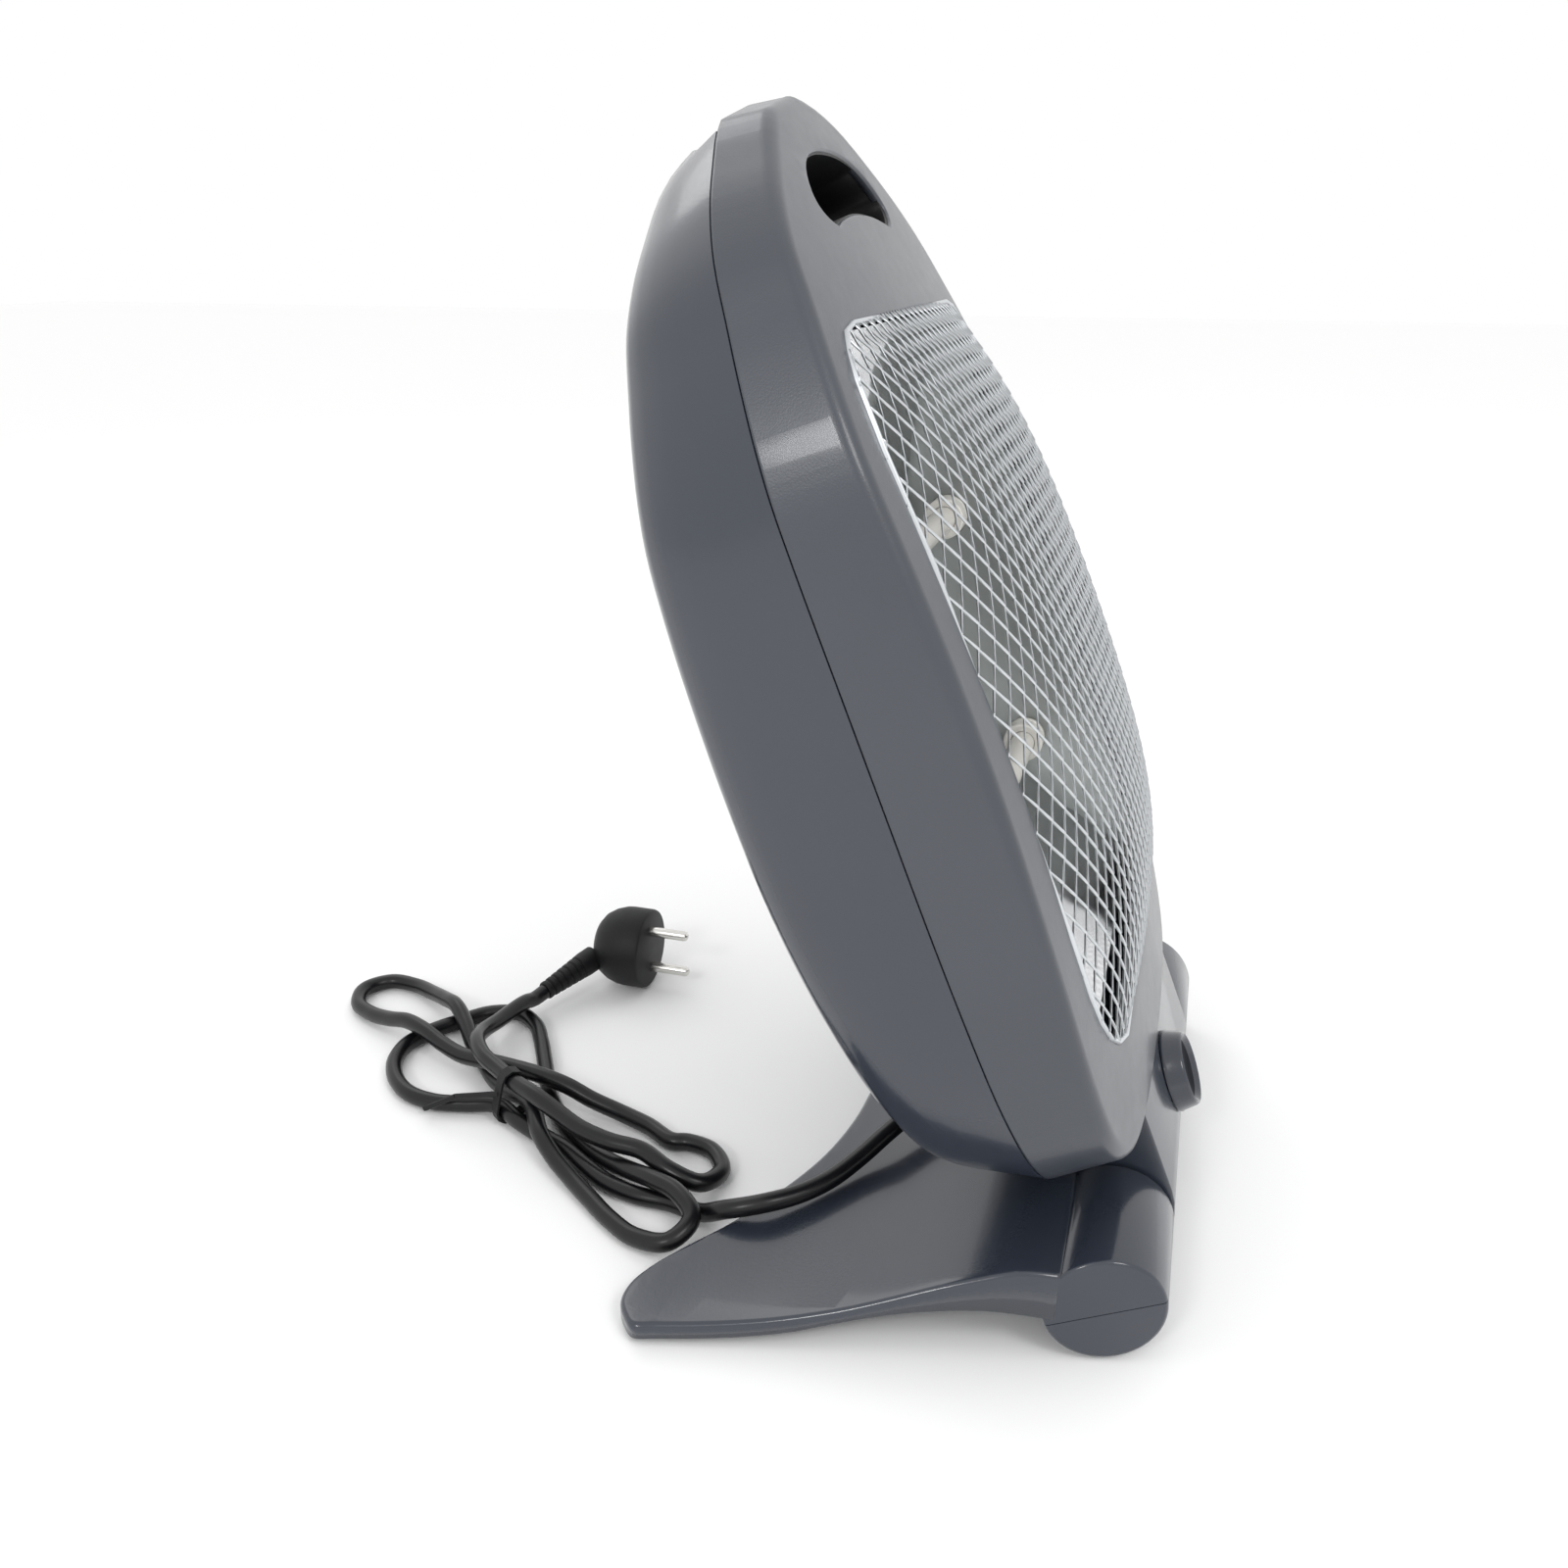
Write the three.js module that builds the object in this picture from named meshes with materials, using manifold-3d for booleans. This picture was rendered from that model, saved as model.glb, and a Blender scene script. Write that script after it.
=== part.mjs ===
// Two-tube quartz heater: a tilting head with a bright reflector on a crescent foot.
// Millimetres, +Z up, front towards -Y. The foot is drawn in the floor's frame; the head is
// drawn upright round the hinge axis (x across, y in depth, z up the face) and then leans back.
import * as THREE from 'three';
import { mergeVertices } from 'three/addons/utils/BufferGeometryUtils.js';
import Module from 'manifold-3d';

// ---------------------------------------------------------------- driving dimensions
const GAP = 0.3;                    // clearance between touching pieces

// hinge
const LEAN = 22.3;                  // degrees the head leans back
const BARREL_R = 19.4;              // the foot's barrels and the head's saddle
const AXIS_Z = 20.4;                // height of the tilt axis
const SADDLE_HALF = 61;             // half width of the saddle
const SADDLE_WALL = 3;
const WASHER = 0.6;                 // thickness of the friction washers
const WASHER_R = 13;
const ROD_R = 3;
const ROD_PLAY = 0.35;
const NUT_R = 7;
const NUT_LENGTH = 6;

// foot
const CAP_X = 113;                  // outer end of the barrels, on the hinge axis
const SPLAY = 0.255;                // the foot's sides splay outwards towards the back
const FOOT_WALL = 2.6;
const SEAM_RISE = 0.3;              // the barrel's parting line rises towards the front
const SEAM_Z = 19;                  // and crosses the axis plane at this height
const PAD_H = 2.2;                  // rubber pads
const PAD_R = 8;
const LEG_X = 136;                  // pads under the legs
const LEG_Y = 138;
const BASE_SCREW_X = 96;

// head outline, seen square to the face
const HEAD_LOW = 33;
const HEAD_TOP = 385.5;
const HEAD_HALF = 119;
const RING_POINTS = 36;

// head depth
const FACE_DEPTH = 31.3;            // the face bulges this far in front of the axis
const FACE_Z = 170;                 // height of that bulge
const FACE_BOW = 0.00048;
const FACE_CROWN = 0.0004;
const SPLIT_Y = 6;                  // parting plane of the two shells
const BACK_DEPTH = 62;              // deepest edge of the rear shell, at BACK_Z
const BACK_Z = 175;
const BACK_BOW_LOW = 0.0011;
const BACK_BOW_HIGH = 0.0006;
const BACK_DOME = 5;
const SHELL_WALL = 2.5;
const SIDE_DRAFT = 2.5;
const PAST_HEAD = 80;               // cutters along the depth reach this far from the axis

// window and guard
const WINDOW_TOP = HEAD_TOP - 74.5;
const WINDOW_LOW = HEAD_LOW + 35;
const WINDOW_HALF = HEAD_HALF - 21;
const GUARD_TUCK = 4;               // the guard's rim sits this far behind the face
const GUARD_RISE = 13;              // and its middle this far in front of it
const GUARD_WALL = 1.2;
const COLLAR_WALL = 3;
const MESH_WIDE = 27;               // pitch of the diamond openings
const MESH_TALL = 50;
const MESH_STRAND = 1.3;            // half the width between two openings

// handle
const HOLE_HALF = 44;
const HOLE_LOW = HEAD_TOP - 47.5;
const HOLE_TOP = HEAD_TOP - 19.5;
const POCKET_DEPTH = 22;
const POCKET_WALL = 1.5;
const NOTCH_HALF = 46;
const NOTCH_LONG = 16;
const NOTCH_DEEP = 5;

// reflector and tubes
const CHEEK_X = WINDOW_HALF - 8;    // inner face of the end plates
const SHEET = 0.8;
const DISH_Y = 36;                  // deepest line of the reflector
const DISH_Z = (WINDOW_TOP + WINDOW_LOW + 1) / 2;
const DISH_HALF = (WINDOW_TOP - WINDOW_LOW - 1) / 2; // half height of the reflector
const DISH_DEPTH = 52;
const TUBE_R = 5;
const TUBE_BORE = 3.8;
const TUBE_Y = 11;
const TUBE_Z = { upper: DISH_Z + 42, lower: DISH_Z - 58 };
const TUBE_REACH = 6;               // the tubes pass the end plates by this much
const CAP_R = 8.2;
const CAP_WALL = 2;
const CAP_LENGTH = 18;
const COIL_R = 2.2;
const CUTOUT_R = 7;

// knob and switch
const KNOB_Z = 14;
const KNOB_R = 15.5;
const KNOB_FACE_R = 13.8;
const KNOB_LENGTH = 7.5;
const KNOB_DISH = 3;
const KNOB_RIM = 2;
const GRIP_WIDE = 5;
const SHAFT_R = 3;
const SHAFT_GRIP = 2.5;               // how deep the shaft reaches into the knob
const SWITCH_HALF = 12;
const SWITCH_DEEP = 14;
const NECK_Y = 20.5;                // flat front of the neck, in front of the axis

// screws that join the shells
const SCREW_R = 1.8;
const SCREW_HEAD_R = 3.4;
const POST_R = 5.5;
const SHELL_SCREWS = { lower: [HEAD_HALF - 16, HEAD_LOW + 85] };

// cord
const CORD_R = 3.5;
const CORD_STEP = 11;               // length between two rings of the cord's tube
const HANK_FROM = 155;              // where the loose stretch ends and the tied hank begins
const GLAND_R = 6;
const GLAND_TIP_R = 4.4;
const GLAND_START = [-6, 31, 43];   // inside the rear shell, in the head's frame
const GLAND_END = [-28.1, 61.2, 38];
const TIE_SPOT = [-49, 242];         // where the tie holds the hank together
const TIE_TURN = 37.4;
const TIE_WIDE = 5;
const TIE_WALL = 0.9;
const TIE_OUTLINE = [               // clear of the strands: across them, height
  [-0.4, 22.7], [2.4, 21.6], [3.9, 19.2], [7.9, 10.6], [8.3, 8.1], [7.3, 5.4], [5.2, 3.6], [-2.7, 1.3],
  [-5.4, 1.4], [-7.6, 3.3], [-8.1, 6.1], [-4.6, 19.2], [-3.2, 21.7],
];
const TIE_TAIL = [[-6.4, 0, 14], [-20, 12, 11.5], [-30, 22, 4]];
const TIE_TAIL_R = 1.2;
const RELIEF_START = [30, 266.4, 11.2];
const RELIEF_END = [60, 253.6, 16];
const PLUG = { x: 69, z: 19, front: 229, rim: 244, back: 255 };
const PLUG_R = 19;
const PLUG_BACK_R = 13;
const PIN_R = 2.4;
const PIN_PITCH = 19;
const PIN_LENGTH = 19;

// middle line of the cord: over the foot's plate, down to the floor, three loops and the plug
const CORD_ROUTE = [
  [-28.3, 71.2, 32.2], [-32.4, 76.1, 29.2], [-47.8, 86.1, 24.5], [-59.6, 93.9, 20],
  [-71, 101.8, 17.1], [-81.2, 111.2, 15.9], [-89.4, 122.4, 15.4], [-92.2, 134.5, 12.3],
  [-88.7, 146.1, 5.4], [-84.7, 159.5, 3.8], [-84.3, 173.4, 3.6], [-80.8, 186.8, 3.6],
  [-74.2, 199.1, 3.6], [-67, 211.1, 3.7], [-61.4, 223.8, 3.6], [-56.7, 236.9, 5.2], [-50, 249, 5.3],
  [-51.4, 262.6, 4], [-53.5, 276.3, 3.6], [-51.2, 289.9, 3.6], [-43.1, 301.2, 3.6],
  [-31.5, 308.8, 3.6], [-17.9, 310.7, 3.6], [-5, 305.6, 3.6], [6.2, 297.2, 3.6], [16.4, 287.7, 3.6],
  [19.9, 274.8, 3.6], [12.8, 263.2, 3.6], [1.5, 254.9, 3.6], [-10.4, 247.6, 3.6],
  [-22.4, 240.4, 3.6], [-34.4, 233.3, 4.2], [-45.3, 224.6, 4.3], [-54.9, 214.5, 3.7],
  [-62.8, 203, 3.7], [-69.8, 190.9, 4.8], [-76.5, 179.2, 7.9], [-82.4, 167.3, 10.9],
  [-88.4, 154.8, 11.9], [-97.7, 145.9, 9.9], [-107.7, 151, 6.4], [-106.6, 164.5, 4.1],
  [-100.1, 176.8, 3.6], [-92, 188.3, 3.7], [-83.9, 199.7, 4.5], [-76.1, 211.2, 6.9],
  [-67.8, 221, 10.2], [-56.8, 228.8, 11.6], [-47.2, 237.8, 9], [-39.9, 249.5, 5.5],
  [-31.7, 260.6, 3.7], [-22, 270.6, 4], [-12.6, 281, 5.7], [-2.6, 289.9, 9], [6.4, 299.4, 11.2],
  [14, 309.8, 8.7], [21.6, 321.3, 5.8], [27.9, 333.8, 3.9], [28.4, 347.3, 3.6], [18.4, 355.7, 3.6],
  [5.9, 351.3, 3.6], [-1.8, 339.7, 4.7], [-7, 326.8, 7.3], [-11.1, 314.5, 10.7],
  [-16.3, 302.4, 11.2], [-21.8, 290.5, 9.7], [-26.8, 277.8, 9.2], [-29.8, 265.3, 11],
  [-31.9, 251.6, 11.8], [-34.4, 238, 12.3], [-36, 224.6, 10.7], [-37.7, 212, 7.1],
  [-39.4, 198.2, 4.5], [-43.2, 184.8, 3.6], [-49.5, 172.6, 3.6], [-48.4, 166, 3.6],
  [-51, 154.8, 3.6], [-62.1, 147.2, 4.1], [-74.2, 151.3, 6.5], [-75.1, 163.9, 10.6],
  [-70.7, 176.1, 13.3], [-70, 190.1, 14.1], [-67.2, 203.7, 15.3], [-62.2, 215.9, 17.2],
  [-57.1, 227.9, 19.2], [-51, 239.4, 18.6], [-43.7, 250.8, 18.3], [-36.4, 261.9, 18.5],
  [-26.1, 270.5, 17.8], [-14.2, 274.3, 14.7], [-1.6, 273.9, 12.4], [17.3, 270.7, 11.6],
  [23.5, 268.9, 10.2], [29.7, 266.5, 11.1],
];

// ---------------------------------------------------------------- materials
const paint = (color, roughness, metalness = 0) =>
  () => new THREE.MeshStandardMaterial({ color, roughness, metalness });
const slate = paint(0x4b515e, 0.28);
const black = paint(0x0d0d0e, 0.5);
const rubber = paint(0x141414, 0.8);
const steel = paint(0xb4b6b8, 0.35, 1);
const bright = paint(0xd9dadb, 0.15, 1);
const silver = paint(0xc4c6c8, 0.35, 0.9);
const quartz = paint(0xe9e5dc, 0.3);
const ceramic = paint(0xf1efe8, 0.6);
const wire = paint(0x8a8580, 0.5, 1);
const cream = paint(0xd8d2c0, 0.6);

// ---------------------------------------------------------------- solids
const wasm = await Module();
wasm.setup();

function toSolid(geometry) {
  const bare = geometry.index ? geometry.toNonIndexed() : geometry.clone();
  bare.deleteAttribute('normal');
  bare.deleteAttribute('uv');
  const merged = mergeVertices(bare, 1e-4);
  const solid = new wasm.Manifold(new wasm.Mesh({
    numProp: 3,
    vertProperties: new Float32Array(merged.attributes.position.array),
    triVerts: new Uint32Array(merged.index.array),
  }));
  if (solid.volume() < 0) throw new Error('a solid is inside out');
  return solid;
}

function toGeometry(solid) {
  const mesh = solid.getMesh();
  const geometry = new THREE.BufferGeometry();
  geometry.setAttribute('position', new THREE.BufferAttribute(mesh.vertProperties, 3));
  geometry.setIndex(new THREE.BufferAttribute(mesh.triVerts, 1));
  return geometry;
}

const flat = (points) => new THREE.Shape(points.map(([a, b]) => new THREE.Vector2(a, b)));
const asShape = (outline) => (outline instanceof THREE.Shape ? outline : flat(outline));
const extrude = (outline, depth) =>
  new THREE.ExtrudeGeometry(asShape(outline), { depth, bevelEnabled: false, curveSegments: 5 });

// a (y, z) outline swept along X
function sweepX(outline, x0, x1) {
  const turn = new THREE.Matrix4().set(0, 0, 1, x0, 1, 0, 0, 0, 0, 1, 0, 0, 0, 0, 0, 1);
  return toSolid(extrude(outline, x1 - x0).applyMatrix4(turn));
}

// an (x, z) outline swept along Y
function sweepY(outline, y0, y1) {
  const turn = new THREE.Matrix4().set(1, 0, 0, 0, 0, 0, -1, y1, 0, 1, 0, 0, 0, 0, 0, 1);
  return toSolid(extrude(outline, y1 - y0).applyMatrix4(turn));
}

// an (x, y) outline swept up along Z
const sweepZ = (outline, z0, z1) => toSolid(extrude(outline, z1 - z0).translate(0, 0, z0));

// a round bar between two points, from radius r0 to r1
function bar(r0, r1, from, to, sides) {
  const start = new THREE.Vector3(...from);
  const end = new THREE.Vector3(...to);
  const along = end.clone().sub(start);
  const geometry = new THREE.CylinderGeometry(r1, r0, along.length(), sides);
  const turn = new THREE.Quaternion().setFromUnitVectors(new THREE.Vector3(0, 1, 0), along.normalize());
  geometry.applyQuaternion(turn);
  const middle = start.add(end).multiplyScalar(0.5);
  return toSolid(geometry.translate(middle.x, middle.y, middle.z));
}

const rodX = (r, x0, x1, y, z, sides = 28) => bar(r, r, [x0, y, z], [x1, y, z], sides);
const rodY = (r, y0, y1, x, z, sides = 24) => bar(r, r, [x, y0, z], [x, y1, z], sides);
const rodZ = (r, z0, z1, x, y, sides = 16) => bar(r, r, [x, y, z0], [x, y, z1], sides);

function block(x0, x1, y0, y1, z0, z1) {
  const geometry = new THREE.BoxGeometry(x1 - x0, y1 - y0, z1 - z0);
  return toSolid(geometry.translate((x0 + x1) / 2, (y0 + y1) / 2, (z0 + z1) / 2));
}

// rings of equal length joined into one closed solid; each end closes on its own middle point
function loft(rings, startPoint, endPoint) {
  const count = rings[0].length;
  const startIndex = rings.length * count;
  const faces = [];
  for (let i = 0; i < count; i += 1) {
    const next = (i + 1) % count;
    faces.push(startIndex, next, i);
    for (let r = 0; r + 1 < rings.length; r += 1) {
      const [a, b] = [r * count + i, r * count + next];
      faces.push(a, b, b + count, a, b + count, a + count);
    }
    faces.push(startIndex + 1, (rings.length - 1) * count + i, (rings.length - 1) * count + next);
  }
  const geometry = new THREE.BufferGeometry();
  const vertices = [...rings.flat(), startPoint, endPoint].flat();
  geometry.setAttribute('position', new THREE.Float32BufferAttribute(vertices, 3));
  geometry.setIndex(faces);
  return toSolid(geometry);
}

const joinAll = (solid, others) => others.reduce((sum, next) => sum.add(next), solid);
const cutAll = (solid, others) => others.reduce((sum, next) => sum.subtract(next), solid);

// ---------------------------------------------------------------- scene graph
const heater = new THREE.Group();
const foot = new THREE.Group();
const head = new THREE.Group();
const cord = new THREE.Group();
head.position.z = AXIS_Z;
head.rotation.x = -THREE.MathUtils.degToRad(LEAN);
heater.add(foot, head, cord);

function add(group, name, shape, material) {
  const mesh = new THREE.Mesh(shape.isBufferGeometry ? shape : toGeometry(shape), material());
  mesh.name = name;
  group.add(mesh);
}

// a piece and its mirror image across the middle plane
function addPair(group, name, rightHand, material) {
  add(group, `${name}_right`, rightHand, material);
  const left = toGeometry(rightHand);
  left.scale(-1, 1, 1);
  left.setIndex([...left.index.array].reverse());
  add(group, `${name}_left`, left, material);
}

// ---------------------------------------------------------------- head surfaces
const faceAt = (x, z) => -FACE_DEPTH + FACE_BOW * (z - FACE_Z) ** 2 + FACE_CROWN * x * x;
const backAt = (z) => BACK_DEPTH - (z < BACK_Z ? BACK_BOW_LOW : BACK_BOW_HIGH) * (z - BACK_Z) ** 2;
const HEAD_MIDDLE = (HEAD_TOP + HEAD_LOW) / 2;

// egg-shaped outline with a flat bottom: share of the half width, share of the height
const EGG = [
  [0, 1], [0.29, 0.98], [0.5, 0.935], [0.63, 0.9], [0.735, 0.86], [0.81, 0.81], [0.86, 0.775],
  [0.92, 0.725], [0.955, 0.68], [0.97, 0.62], [0.98, 0.52], [0.99, 0.42], [1, 0.32], [1, 0.235],
  [0.985, 0.145], [0.945, 0.088], [0.905, 0.06], [0.84, 0.035], [0.72, 0.012], [0.55, 0.001], [0.25, 0],
];
const rightEgg = EGG.map(([u, v]) => [u * HEAD_HALF, HEAD_LOW + v * (HEAD_TOP - HEAD_LOW)]);
const leftEgg = rightEgg.slice(1).reverse().map(([x, z]) => [-x, z]);
const eggCurve = new THREE.CatmullRomCurve3(
  [...rightEgg, [0, HEAD_LOW], ...leftEgg].map(([x, z]) => new THREE.Vector3(x, 0, z)),
  true, 'catmullrom', 0.5,
);
const outline = eggCurve.getSpacedPoints(RING_POINTS).slice(0, RING_POINTS)
  .map((p) => [p.x, Math.max(p.z, HEAD_LOW)]);

// moves an outline inwards by d along its own normals
function inset(points, d) {
  const count = points.length;
  return points.map(([x, z], i) => {
    const [ax, az] = points[(i + count - 1) % count];
    const [bx, bz] = points[(i + 1) % count];
    const length = Math.hypot(bx - ax, bz - az);
    return [x + (d * (bz - az)) / length, z - (d * (bx - ax)) / length];
  });
}

const shrink = (points, k) => points.map(([x, z]) => [x * k, HEAD_MIDDLE + (z - HEAD_MIDDLE) * k]);
const ring = (points, yAt) => points.map(([x, z]) => [x, yAt(x, z), z]);
const level = (y) => () => y;

// the front shell's outer form, or the cavity inside it when t is the wall
function frontForm(t, openY) {
  const face = (back) => (x, z) => faceAt(x, z) + t + back;
  const core = inset(outline, t + 5);
  return loft([
    ring(shrink(core, 0.4), face(0)),
    ring(shrink(core, 0.75), face(0)),
    ring(inset(outline, t + 4), face(0)),
    ring(inset(outline, t + 0.2), face(4.2)),
    ring(inset(outline, t - SIDE_DRAFT), level(openY)),
  ], [0, faceAt(0, HEAD_MIDDLE) + t, HEAD_MIDDLE], [0, openY, HEAD_MIDDLE]);
}

// the rear shell's outer form, or the cavity inside it
function rearForm(t, openY) {
  const back = (short) => (x, z) => backAt(z) - t - short;
  const core = inset(outline, t + 24);
  return loft([
    ring(inset(outline, t - SIDE_DRAFT), level(openY)),
    ring(inset(outline, t + 8), back(6.5)),
    ring(inset(outline, t + 17), back(1)),
    ring(core, back(-0.8)),
    ring(shrink(core, 0.6), back(-BACK_DOME * 0.7)),
  ], [0, openY, HEAD_MIDDLE], [0, backAt(HEAD_MIDDLE) - t + BACK_DOME, HEAD_MIDDLE]);
}

// window: straight top, long sides and round lower corners, grown by g
function windowOutline(g) {
  const [side, low, top] = [WINDOW_HALF + g, WINDOW_LOW - g, WINDOW_TOP + g];
  const right = [
    [side - 28 - g, top], [side - 18 - g, top - 2], [side - 12, top - 8 - g], [side - 7, top - 16 - g],
    [side - 2, top - 36 - g], [side, top - 71 - g], [side, low + 52 + g], [side - 2, low + 32 + g],
    [side - 6, low + 20 + g], [side - 12, low + 11 + g], [side - 20, low + 4], [side - 32 - g, low],
  ];
  return [...right, ...right.slice().reverse().map(([x, z]) => [-x, z])];
}

// wide pill with a small hump in its lower edge, grown by g
function holeOutline(g) {
  const [wide, low, top] = [HOLE_HALF + g, HOLE_LOW - g, HOLE_TOP + g];
  const shape = new THREE.Shape();
  shape.moveTo(-wide * 0.78, low);
  shape.quadraticCurveTo(0, low + 8, wide * 0.78, low);
  shape.quadraticCurveTo(wide * 1.08, low + 4, wide, low + 12);
  shape.quadraticCurveTo(wide * 0.8, top, 0, top);
  shape.quadraticCurveTo(-wide * 0.8, top, -wide, low + 12);
  shape.quadraticCurveTo(-wide * 1.08, low + 4, -wide * 0.78, low);
  return shape.getPoints(4).slice(1).map((p) => [p.x, p.y]);
}

// ---------------------------------------------------------------- front shell with neck and saddle
const HEX = Math.cos(Math.PI / 6);     // a six-sided bore's flats against its corners
const screwSpots = Object.values(SHELL_SCREWS).flatMap(([x, z]) => [[x, z], [-x, z]]);
const screwRods = (r, y0, y1) => screwSpots.map(([x, z]) => rodY(r, y0, y1, x, z, 6));
const NECK_TOP = HEAD_LOW + 12;
const neckBack = BARREL_R - 0.4;
const neck = sweepX(
  [[-NECK_Y, NECK_TOP], [-NECK_Y, 0], [neckBack, 0], [neckBack, NECK_TOP]], -SADDLE_HALF, SADDLE_HALF,
);
const innerHalf = SADDLE_HALF - SADDLE_WALL;
const neckHollow = block(
  -innerHalf, innerHalf, -NECK_Y + SHELL_WALL, neckBack - SHELL_WALL, 6, NECK_TOP + 2,
);
const saddleHollow = rodX(BARREL_R - SHELL_WALL, -innerHalf, innerHalf, 0, 0, 30);
const frontInside = frontForm(SHELL_WALL, SPLIT_Y + 1);
const frontPosts = screwRods(POST_R, -40, SPLIT_Y).map((post) => post.intersect(frontForm(1, SPLIT_Y)));
const frontSolid = joinAll(frontForm(0, SPLIT_Y).subtract(frontInside), frontPosts)
  .add(neck.subtract(frontInside))
  .add(rodX(BARREL_R, -SADDLE_HALF, SADDLE_HALF, 0, 0, 34));
add(head, 'front_shell', cutAll(frontSolid, [
  saddleHollow,
  neckHollow,
  rodX(ROD_R + ROD_PLAY, -SADDLE_HALF - 1, SADDLE_HALF + 1, 0, 0, 16),
  rodY(SHAFT_R + GAP, -60, 0, 0, KNOB_Z, 16),
  sweepY(windowOutline(0), -PAST_HEAD, PAST_HEAD),
  sweepY(holeOutline(0), -PAST_HEAD, PAST_HEAD),
  ...screwRods((SCREW_R + GAP) / HEX, -20, SPLIT_Y + 5),
]), slate);

// ---------------------------------------------------------------- rear shell
const REAR_Y = SPLIT_Y + GAP;
const SCREW_SEAT = SPLIT_Y + 14;
const notchFloor = HEAD_TOP - NOTCH_DEEP - 5;
const notch = block(-NOTCH_HALF, NOTCH_HALF, 0, SPLIT_Y + NOTCH_LONG, notchFloor, HEAD_TOP + 12);
const notchWalls = block(-NOTCH_HALF - SHELL_WALL, NOTCH_HALF + SHELL_WALL, REAR_Y,
  SPLIT_Y + NOTCH_LONG + SHELL_WALL, notchFloor - SHELL_WALL, HEAD_TOP + 12);
const neckRoom = block(-SADDLE_HALF - GAP, SADDLE_HALF + GAP, 0, neckBack + GAP, 0, NECK_TOP + GAP);
const rearPosts = screwRods(POST_R, REAR_Y, PAST_HEAD).map((post) => post.intersect(rearForm(1, REAR_Y)));
const rearSolid = joinAll(rearForm(0, REAR_Y).subtract(rearForm(SHELL_WALL, SPLIT_Y - 5)), rearPosts)
  .add(notchWalls.intersect(rearForm(0.4, REAR_Y)));
const VENT_ROWS = 2;
const VENT_STEP = 16;
const VENT_HALF = 22;
const VENT_X = 30;
const VENT_TALL = 4;
const vents = [HEAD_TOP - 117.5, HEAD_LOW + 55].flatMap((low) => [-VENT_X, VENT_X].flatMap((x) =>
  Array.from({ length: VENT_ROWS }, (_, i) => block(x - VENT_HALF, x + VENT_HALF, 25, 90,
    low + i * VENT_STEP, low + i * VENT_STEP + VENT_TALL))));
add(head, 'rear_shell', cutAll(rearSolid, [
  notch,
  neckRoom,
  bar(GLAND_R + GAP, GLAND_R + GAP, GLAND_START, GLAND_END, 20),
  ...screwRods((SCREW_R + GAP) / HEX, SPLIT_Y - 2, PAST_HEAD),
  ...screwRods((SCREW_HEAD_R + GAP) / HEX, SCREW_SEAT, 90),
  ...vents,
]), slate);

for (const [place, [x, z]] of Object.entries(SHELL_SCREWS)) {
  const screw = rodY(SCREW_R, -19, SCREW_SEAT + 1, x, z, 10)
    .add(rodY(SCREW_HEAD_R, SCREW_SEAT + GAP, SCREW_SEAT + 2.6, x, z, 14));
  addPair(head, `shell_screw_${place}`, screw, steel);
}

// ---------------------------------------------------------------- handle pocket
const pocketBack = faceAt(HOLE_HALF, HOLE_TOP) + POCKET_DEPTH;
const FLANGE = 3;
const HOLE_MIDDLE = (HOLE_LOW + HOLE_TOP) / 2;
const plug = (grow, back, front) => loft([
  ring(holeOutline(grow), back), ring(holeOutline(grow), front),
], [0, back(0, HOLE_MIDDLE), HOLE_MIDDLE], [0, front(0, HOLE_MIDDLE), HOLE_MIDDLE]);
const behindFace = (d) => (x, z) => faceAt(x, z) + d;
const flange = plug(
  FLANGE, behindFace(SHELL_WALL + 2 * GAP + POCKET_WALL), behindFace(SHELL_WALL + 2 * GAP),
);
add(head, 'handle_liner', plug(-GAP, level(pocketBack), behindFace(0.8)).add(flange)
  .subtract(plug(-GAP - POCKET_WALL, level(pocketBack - POCKET_WALL), level(-60))), black);

// ---------------------------------------------------------------- guard
const GUARD_MIDDLE = (WINDOW_TOP + WINDOW_LOW) / 2;
const GUARD_SPAN = (WINDOW_TOP - WINDOW_LOW) / 2;

// the guard's front surface: flush with the face at its rim, domed in its middle
function guardAt(x, z) {
  const across = 1 - Math.min(1, Math.abs(x / WINDOW_HALF)) ** 4;
  const along = 1 - Math.min(1, Math.abs((z - GUARD_MIDDLE) / GUARD_SPAN)) ** 4;
  return faceAt(x, z) - GUARD_RISE * across * along;
}

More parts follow.
